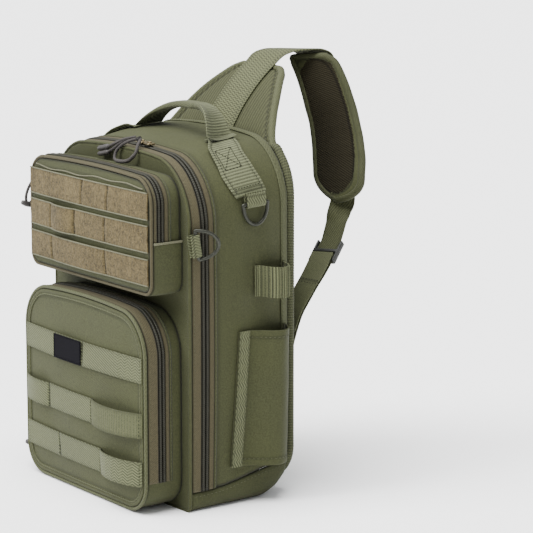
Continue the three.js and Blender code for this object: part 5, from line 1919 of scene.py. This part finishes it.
@dataclass
class ShoulderStrap:
    """The single strap: webbing over the top, the padded part, the lower webbing and its slider."""

    yoke: Yoke
    reach: float = 120.0
    spread: float = 110.0
    drop: float = 145.0
    apex: float = 14.0
    lower_drop: float = 205.0
    pad_thickness: float = 9.0
    web_width: float = 25.4
    pad_back: float = 69.3
    # where the lower strap starts, as a share of the drop, and the slider on it
    lower_start: float = 0.935
    slider_shift: float = 0.045
    slider_length: float = 26.0
    slider_rail: float = 2.4
    tail_share: float = 0.36
    patch: tuple[float, float] = (34.0, 30.0)
    # inner edge: across, back and height, then the outer edge's
    pad_rows: tuple[tuple[float, ...], ...] = (
        (0.02, 0.73, -0.03, 0.4, 0.83, -0.06), (0.07, 0.71, 0.02, 0.49, 0.88, -0.02),
        (0.14, 0.715, 0.13, 0.59, 0.91, 0.1), (0.19, 0.735, 0.28, 0.69, 0.935, 0.27),
        (0.245, 0.765, 0.45, 0.79, 0.93, 0.45), (0.31, 0.76, 0.62, 0.88, 0.9, 0.62),
        (0.37, 0.745, 0.77, 0.935, 0.85, 0.77), (0.42, 0.735, 0.86, 0.95, 0.82, 0.86),
        (0.52, 0.72, 0.93, 0.9, 0.78, 0.94),
    )
    # across, back and share of the apex
    apex_rows: tuple[tuple[float, ...], ...] = (
        (0.01, 0.48, 0.68), (0.03, 0.585, 0.97), (0.08, 0.69, 1.03), (0.14, 0.785, 1), (0.2, 0.85, 0.66),
        (0.25, 0.862, 0.1),
    )
    # across, back, share of the lower drop and turn
    lower_rows: tuple[tuple[float, ...], ...] = (
        (0.72, 0.8, -0.03, 0.9), (0.735, 0.785, 0.015, 0.85), (0.755, 0.735, 0.06, 0.6),
        (0.785, 0.68, 0.115, 0.25), (0.84, 0.58, 0.205, 0.2), (0.91, 0.405, 0.31, 0.3),
        (0.955, 0.225, 0.42, 0.2), (0.95, 0.11, 0.53, 0.1), (0.91, 0.06, 0.68, 0),
        (0.87, 0.045, 0.85, 0), (0.85, 0.035, 1, 0),
    )

    def __post_init__(self) -> None:
        """Lays out the padded part and the lower webbing."""
        self.top = self.yoke.base + self.yoke.height
        self.inner = [self._spot(row[0], row[1], row[2]) for row in self.pad_rows]
        self.outer = [self._spot(row[3], row[4], row[5]) for row in self.pad_rows]
        centres = [(a + b) / 2 for a, b in zip(self.inner, self.outer)]
        self.pad = Ribbon(centres, [(b - a) / 2 for a, b in zip(self.inner, self.outer)], square=False)
        self.halves = [(mark / self.pad.length, (b - a).length / 2)
                       for mark, a, b in zip(self.pad.line.marks, self.inner, self.outer)]
        end = self.top - self.drop * self.lower_start
        self.lower = Ribbon(
            [Vector((self.spread * across, self.pad_back + self.reach * back, end - self.lower_drop * fall))
             for across, back, fall, _ in self.lower_rows],
            [Vector((math.cos(turn), math.sin(turn), 0)) for *_, turn in self.lower_rows])

    def _spot(self, across: float, back: float, height: float) -> Vector:
        """Returns a point of the strap from its shares."""
        y = self.pad_back + self.reach * back
        return Vector((self.spread * across, y, self.top - self.drop * height))

    def _pad(self) -> None:
        """Makes the padded part: mesh lining inside, cloth outside, a bound edge between them."""
        rounding = 22.0 / self.pad.length
        reads = 80

        def frame_at(v: float) -> tuple[Vector, Vector, Vector, float]:
            """Returns the middle, the directions across and out, and half the width."""
            centre, level, normal = self.pad.at(v)
            half = read_smooth(self.halves, v)[0]
            half -= 2.5 * math.sin(math.pi * clamp(v * 1.2, 0, 1))
            if v > 1 - rounding:
                half *= math.sqrt(max(0.02, 1 - ((v - 1 + rounding) / rounding) ** 2 * 0.98))
            return centre + level * (1.5 * math.sin(math.pi * v)), level, normal, half

        def place(u: float, v: float) -> Vector:
            """Returns where a point of the cloth lies."""
            centre, level, normal, half = frame_at(v)
            across, out = boxy(u, 0.45, 0.6)
            return centre + level * (across * (half - 1)) + normal * (out * (self.pad_thickness / 2 - 0.9))

        def lining_edge(across: float, v: float) -> float:
            """Returns 1 on the lining's edge, and less inside it."""
            return (abs(across + 0.12) / 0.84) ** 3 + (abs(2 * v - 0.99) / 0.95) ** 8

        def seam_and_painted_shade(u: float, v: float) -> float:
            """Returns the painted shade: dark round the lining's edge, on the inner face."""
            across, out = boxy(u, 0.45, 0.6)
            return 0.75 * bump_at(lining_edge(across, v), 1.0, 0.14) * (out < 0)

        def cloth(u: float, v: float) -> tuple[float, float]:
            """Returns a point's place across and along the cloth."""
            return boxy(u, 0.45, 0.6)[0] * frame_at(v)[3], v * self.pad.length

        bm = shaped_grid(128, 120, place, cloth, seam_and_painted_shade)
        frames = [frame_at(v) for v in even(0, 1, reads)]

        def shares_of(spot: Vector) -> tuple[float, float, float]:
            """Returns a spot's share across the pad, its share along it and how far out it lies."""
            index = min(range(len(frames)), key=lambda i: (frames[i][0] - spot).length_squared)
            centre, level, normal, half = frames[index]
            off = spot - centre
            return off.dot(level) / max(1.0, half - 1), index / reads, off.dot(normal)

        for face in bm.faces:
            across, along, out = shares_of(face.calc_center_median() / MM)
            face.material_index = int(out < -0.5 and lining_edge(across, along) < 1)
        close_up(bm)
        piece = make_piece("shoulder_pad_cloth", bm, [FABRIC, LINING], "body_fabric", ("shoulder_pad",))

        def held(spot: Vector) -> bool:
            """Says whether a corner is sewn down."""
            across, along, _ = shares_of(spot)
            edge = lining_edge(across, along)
            return abs(across) > 0.84 or abs(edge - 1) < 0.15 or along < 0.02 or along > 0.96

        inflate(piece, held, pressure=3.0, cap=2.2)
        right = [centre + level * (half - 1.2) for centre, level, _, half in frames[::2]]
        left = [centre - level * (half - 1.2) for centre, level, _, half in frames[::2]]
        bound = Route(right + list(reversed(left)), closed=True)
        middle = self.pad.at(0.5)[2]
        bm = tube(bound, 3.9, 360, 12, flat=middle, squash=1.05)
        make_piece("shoulder_pad_binding", bm, PAD_BINDING, "sage_webbing")

    def _strap(self, name: str, ribbon: Ribbon, width: float, finish: Finish, slot: str, replaces: str,
               steps: int, taper: float = 0.0) -> None:
        """Makes a flat strap along a ribbon.

        Args:
            name: of the piece.
            ribbon: its route.
            width: of the strap.
            finish: its finish.
            slot: the record's material slot.
            replaces: the node that it stands for.
            steps: faces along it.
            taper: how much narrower it is at its far end, as a share.
        """
        def place(u: float, v: float) -> Vector:
            """Returns where a point of the cloth lies."""
            centre, level, normal = ribbon.at(u)
            reach = width * (1 - taper * clamp((u - 0.68) / 0.12, 0, 1))
            return centre + level * ((v - 0.5) * reach) + normal * (WEBBING / 2 - 0.1)

        def seam_and_painted_shade(u: float, v: float) -> float:
            """Returns the painted shade: dark along two lines near the strap's edges."""
            return 0.3 * (bump_at(v, 0.07, 0.015) + bump_at(v, 0.93, 0.015))

        bm = shaped_grid(steps, 14, place, (ribbon.length, width), seam_and_painted_shade)
        bm.normal_update()
        centre, _, normal = ribbon.at(0.02)
        near = [face for face in bm.faces if (face.calc_center_median() / MM - centre).length < 20]
        if sum(face.normal.dot(normal) for face in near) < 0:
            bmesh.ops.reverse_faces(bm, faces=bm.faces[:])
        make_piece(name, bm, finish, slot, (replaces,), wall=WEBBING - 0.3, rim=0.35)

    def _webbing(self) -> Ribbon:
        """Returns the route of the webbing from the yoke over the top to the pad."""
        centres, acrosses = [], []
        for row in self.yoke.rows[1:]:
            spot, normal, _, _ = self.yoke.frame_at(row[0])
            centres.append(spot + normal * (SEAT + WEBBING / 2))
            acrosses.append(RIGHT)
        across = (self.outer[0] - self.inner[0]).normalized()
        for number, (along, back, apex) in enumerate(self.apex_rows):
            centres.append(self._spot(along, back, 0) + UP * (self.apex * apex))
            acrosses.append(RIGHT.lerp(across, (number + 1) / len(self.apex_rows)))
        for index in (2, 3):
            share = self.pad.line.marks[index] / self.pad.length
            centre, level, normal = self.pad.at(share)
            centres.append(centre + normal * (self.pad_thickness / 2 + 4 * SEAT + WEBBING / 2))
            acrosses.append(level)
        return Ribbon(centres, acrosses, square=False)

    def _slider(self) -> None:
        """Makes the strap's slider: a moulded frame with a bar behind the strap."""
        share = self.lower.line.marks[4] / self.lower.length + self.slider_shift
        centre, level, normal = self.lower.at(share)
        tangent = self.lower.line.tangent(share)
        turn = Matrix((level, tangent, normal)).transposed().to_4x4()
        place = Matrix.Translation(centre * MM) @ turn
        offset, rail, length = 2.4, self.slider_rail, self.slider_length
        rail_x = self.web_width / 2 + 0.5 + rail / 2
        bm = bmesh.new()
        for x in (-rail_x, rail_x):
            add_block(bm, place, (x, 0, 0), (rail, length, 2 * offset + 1.4), 0.95, 4)
        for y, z in ((2 - length / 2, offset), (length / 2 - 2, offset), (0, -offset)):
            add_block(bm, place, (0, y, z), (2 * rail_x, 4, 2), 0.95, 4)
        make_piece("strap_slider", bm, PLASTIC, "buckle_plastic", ("tri_glide",))
        self._tail(share)

    def _tail(self, start: float) -> None:
        """Makes the doubled end of the strap, which comes back out of the slider and is sewn down."""
        start += 0.015
        centres, acrosses = [], []
        for number, share in enumerate(even(start, start + self.tail_share, 12)):
            centre, level, normal = self.lower.at(share)
            centres.append(centre - normal * (4.4 - 1.9 * clamp(number / 4, 0, 1)))
            acrosses.append(level)
        tail = Ribbon(centres, acrosses)

        def place(u: float, v: float) -> Vector:
            """Returns where a point of the cloth lies."""
            centre, level, normal = tail.at(u)
            return centre + level * ((v - 0.5) * self.web_width) - normal * (WEBBING / 2)

        cloth = (tail.length, self.web_width)
        # the last argument is painted shade along a line across the tail, where it is sewn down
        bm = shaped_grid(40, 12, place, cloth, lambda u, v: 0.5 * bump_at(u, 0.4, 0.012))
        bm.normal_update()
        if sum(face.normal.dot(tail.at(0.5)[2]) for face in bm.faces) > 0:
            bmesh.ops.reverse_faces(bm, faces=bm.faces[:])
        make_piece("lower_strap_tail", bm, BINDING, "body_fabric", wall=WEBBING - 0.3, rim=0.35)
        stitches = Stitching("lower_strap_stitching", DARK_THREAD, "body_fabric", length=2.6, gap=0.8)
        for u in (0.385, 0.43):
            stitches.sew([place(u, v) for v in even(0, 1, 8)], -tail.at(u)[2])
        stitches.finish_up()

    def _anchor(self) -> None:
        """Makes the patch that holds the strap's lower end on the back panel."""
        centre = self.lower.at(1.0)[0]
        width, height = self.patch
        stitches = Stitching("strap_anchor_stitching", length=2.8, gap=1.1)

        def place(u: float, v: float) -> Vector:
            """Returns where a point of the cloth lies."""
            y = self.pad_back + SEAT + 1.7 + 0.3 * math.sin(math.pi * u)
            return Vector((centre.x + (u - 0.5) * width, y, centre.z + height * v))

        bm = shaped_grid(24, 20, place, self.patch, None, (centre.x, 0, centre.z + height / 2))
        make_piece("strap_anchor_patch", bm, FABRIC, "body_fabric", ("strap_anchor",), wall=1.5, rim=0.4)
        corners = [(0.1, 0.1), (0.9, 0.1), (0.9, 0.9), (0.1, 0.9)]
        for a, b in ((0, 1), (1, 2), (2, 3), (3, 0), (0, 2), (1, 3)):
            start, end = place(*corners[a]) + BACK * 0.2, place(*corners[b]) + BACK * 0.2
            stitches.sew([start, start.lerp(end, 0.5), end], BACK)
        stitches.finish_up()

    def build(self) -> None:
        """Makes the whole strap."""
        self._strap("yoke_strap", self._webbing(), self.yoke.web_width, WAVES, "sage_webbing", "yoke_webbing",
                    150, taper=0.2)
        self._pad()
        self._strap("lower_strap", self.lower, self.web_width, DARK_STRAP, "body_fabric", "strap_webbing",
                    110)
        self._slider()
        self._anchor()


@dataclass
class ZipPulls:
    """The four zip sliders, each with a cord pull."""

    pockets: Sequence[Pocket]
    cord: float = 1.5
    length: float = 30.4
    grip_length: float = 15.0
    grip_radius: float = 3.0
    # how far two grips that hang together lie apart
    twin_drop: float = 5.6
    # points of the open loop, in millimetres
    open_loop: tuple[tuple[float, float, float], ...] = (
        (27, -50, 361.6), (15, -58.5, 357.5), (3, -62, 348.5), (5, -66, 341), (17, -68, 339.6),
        (30, -66, 341.5), (37.5, -62.5, 349), (34, -57, 356.5),
    )
    # points of a side pull's teardrop, as shares of its length
    teardrop: tuple[tuple[float, float], ...] = (
        (0, 0), (0.2, 0.09), (0.5, 0.16), (0.8, 0.14), (1, 0), (0.8, -0.14), (0.5, -0.16), (0.2, -0.09),
    )

    def _slider(self, name: str, base: Vector, along: Vector, out: Vector) -> None:
        """Makes a slider: a waisted body and the small bridge that holds its pull."""
        turn = Matrix((along, out.cross(along), out)).transposed().to_4x4()
        place = Matrix.Translation(base * MM) @ turn
        bm = bmesh.new()
        add_block(bm, place, (0, 0, 1.3), (10, 8, 2.2), 0.9)
        add_block(bm, place, (0, 0, 3.0), (6.5, 2.6, 1.8), 0.7)
        make_piece(f"{name}_metal", bm, BRASS, "slider_brass", (name,))

    def _pull(self, name: str, start: Vector, direction: Vector, normal: Vector) -> None:
        """Makes a teardrop loop of cord with a moulded grip across its far end."""
        side = direction.cross(normal).normalized()
        length = self.length
        path = [start + (direction * forth + side * over) * length for forth, over in self.teardrop]
        bm = tube(Route(path, closed=True), self.cord, 110, 10, flat=normal)
        make_piece(f"{name}_cord", bm, CORD, "pull_cord", (name,))
        end = start + direction * length
        half = self.grip_length / 2
        grip = Route([end + side * (half * share) - direction * (0.6 * share * share) for share in
                      (-1, -0.6, -0.2, 0.2, 0.6, 1)])

        def swell(u: float) -> float:
            """Returns the section's size as a share."""
            rings = 0.035 * math.cos(math.tau * u * 6)
            return (1 - 0.28 * abs(2 * u - 1) ** 3 + rings) if 0.004 < u < 0.996 else 0.62

        bm = tube(grip, self.grip_radius, 44, 14, swell=swell, flat=normal)
        make_piece(f"{name}_grip", bm, GRIP, "pull_cord")

    def _hanging_loop(self, name: str) -> None:
        """Makes the pull that hangs over the front edge as an open loop, with a moulded half and a tie."""
        loop = Route([Vector(point) for point in self.open_loop], closed=True)

        def swell(u: float) -> float:
            """Returns the section's size as a share."""
            return 1.05 + 0.3 * clamp((u - 0.46) / 0.03, 0, 1) * clamp((0.78 - u) / 0.03, 0, 1)

        bm = tube(loop, self.cord, 150, 10, swell=swell, flat=Vector((0.2, 0.9, 0.3)))
        make_piece(f"{name}_cord", bm, CORD, "pull_cord", (name,))
        middles = [loop.at(share).lerp(loop.at(1 - share), 0.5) for share in (0.03, 0.06)]
        tie = Route([loop.at(0.985), *middles])
        # the last argument is painted shade in the grooves between the tie's wraps
        bm = tube(tie, 2.9, 60, 12, swell=lambda u: 0.92 + 0.16 * math.sin(math.pi * 10 * u) ** 2,
                  seam_and_painted_shade=lambda u, v: 0.5 * math.cos(math.pi * 10 * u) ** 2)
        make_piece(f"{name}_tie", bm, CORD, "pull_cord")

    def _twin_grips(self, name: str) -> None:
        """Makes the pull whose two cords end in a pair of moulded grips."""
        def swell(u: float) -> float:
            """Returns the section's size as a share."""
            return 0.7 + 0.3 * min(1.0, math.sin(math.pi * clamp(u, 0.02, 0.98)) * 3)

        for number, drop in enumerate((0.0, self.twin_drop)):
            path = [Vector((14, -46, 361.8)), Vector((6, -56, 359.2 - drop * 0.3)),
                    Vector((-4, -61.5, 354 - drop * 0.8)), Vector((-13, -62.5, 350.5 - drop))]
            bm = tube(Route(path), self.cord, 60, 10)
            replaced = (name,) if number == 0 else ()
            make_piece(f"{name}_cord_{number + 1}", bm, CORD, "pull_cord", replaced)
            grip = Route([Vector((-11, -62.4, 351.2 - drop)), Vector((-20, -62.8, 349 - drop)),
                          Vector((-29, -63, 347 - drop))])
            bm = tube(grip, self.grip_radius * 0.88, 40, 14, swell=swell)
            make_piece(f"{name}_grip_{number + 1}", bm, GRIP, "pull_cord")

    def build(self) -> None:
        """Makes all sliders and pulls."""
        teeth = MainCompartment.zip_teeth
        lift = SEAT + 2.2 + SEAT
        gap = self.cord + SEAT
        for name, x in (("right", 31.0), ("left", 18.0)):
            self._slider(f"main_zip_slider_{name}", BODY.arch(teeth).at(x, teeth, lift + 0.3), RIGHT, UP)
        self._hanging_loop("main_zip_pull_right")
        self._twin_grips("main_zip_pull_left")
        hanging = Vector((-0.1, -0.3, -1)).normalized()
        for name, pocket, height in zip(("upper", "lower"), self.pockets, (309.0, 53.0)):
            base = Vector((-pocket.half_width - lift, pocket.teeth, height))
            self._slider(f"{name}_zip_slider", base, UP, -RIGHT)
            self._pull(f"{name}_zip_pull", base - RIGHT * (4 + gap), hanging, -RIGHT)


@dataclass
class Studio:
    """The camera at the photograph's angle, a pale floor and soft light."""

    azimuth: float = 54.0
    elevation: float = 10.85
    distance: float = 2500.0
    focal: float = 2430.0
    target: tuple[float, float, float] = (0.0, 0.0, 180.0)
    seen_at: tuple[float, float] = (168.0, 307.2)

    def camera(self) -> None:
        """Makes the camera."""
        a, e = math.radians(self.azimuth), math.radians(self.elevation)
        right = Vector((math.cos(a), math.sin(a), 0))
        back = Vector((math.sin(a) * math.cos(e), -math.cos(a) * math.cos(e), math.sin(e)))
        up = back.cross(right)
        middle = PHOTO_SIDE / 2
        spot = Vector(self.target) + back * self.distance
        spot -= right * ((self.seen_at[0] - middle) * self.distance / self.focal)
        spot += up * ((self.seen_at[1] - middle) * self.distance / self.focal)
        data = bpy.data.cameras.new("camera")
        data.sensor_width = 36.0
        data.lens = self.focal / PHOTO_SIDE * 36.0
        data.clip_start, data.clip_end = 0.1, 200.0
        camera = bpy.data.objects.new("camera", data)
        camera.matrix_world = Matrix.Translation(spot * MM) @ Matrix((right, up, back)).transposed().to_4x4()
        bpy.context.scene.collection.objects.link(camera)
        bpy.context.scene.camera = camera

    def _lamp(self, name: str, toward: Sequence[float], strength: float, spread: float) -> None:
        """Makes one broad, distant lamp that shines from a direction.

        Args:
            name: of the lamp.
            toward: the direction from the bag to the lamp.
            strength: of its light.
            spread: how wide it looks, in degrees; the wider, the softer its shadows.
        """
        data = bpy.data.lights.new(name, "SUN")
        data.energy = strength
        data.angle = math.radians(spread)
        lamp = bpy.data.objects.new(name, data)
        lamp.rotation_euler = Vector(toward).to_track_quat("Z", "Y").to_euler()
        bpy.context.scene.collection.objects.link(lamp)

    def build(self) -> None:
        """Makes the camera, the floor and the lights."""
        self.camera()
        bm = bmesh.new()
        bmesh.ops.create_circle(bm, cap_ends=True, segments=96, radius=60.0)
        mesh = bpy.data.meshes.new("floor")
        bm.to_mesh(mesh)
        bm.free()
        mesh.materials.append(material(FLOOR))
        floor = bpy.data.objects.new("floor", mesh)
        bpy.context.scene.collection.objects.link(floor)
        world = bpy.data.worlds.new("studio")
        world.use_nodes = True
        surround = world.node_tree.nodes["Background"]
        surround.inputs["Color"].default_value = (0.97, 0.985, 1.0, 1.0)
        surround.inputs["Strength"].default_value = 0.8
        bpy.context.scene.world = world
        self._lamp("overhead", (0.05, -0.2, 1.0), 7.8, 46)
        self._lamp("key", (-0.25, -0.8, 0.75), 4.1, 30)


def main() -> None:
    """Builds the bag piece by piece."""
    logging.basicConfig(level=logging.INFO, format="%(message)s", stream=sys.stdout)
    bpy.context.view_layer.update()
    Studio().build()
    MainCompartment().build()
    lower = LowerPocket("lower_pocket", half_width=112, bottom=3, top=205, depth=41, top_radius=40,
                        bottom_radius=30, crown=7, bulge=7, zip_place=0.6, zip_fall=165)
    lower.build()
    upper = UpperPocket("upper_pocket", half_width=112, bottom=221, top=337, depth=33, top_radius=24,
                        bottom_radius=12, crown=4, bulge=4, zip_place=0.74, zip_fall=60.7)
    upper.build()
    SideStraps().build()
    CarryHandle().build()
    RodHolder().build()
    BackPanel().build()
    yoke = Yoke()
    yoke.build()
    ShoulderStrap(yoke).build()
    ZipPulls((upper, lower)).build()


if __name__ == "__main__":
    main()
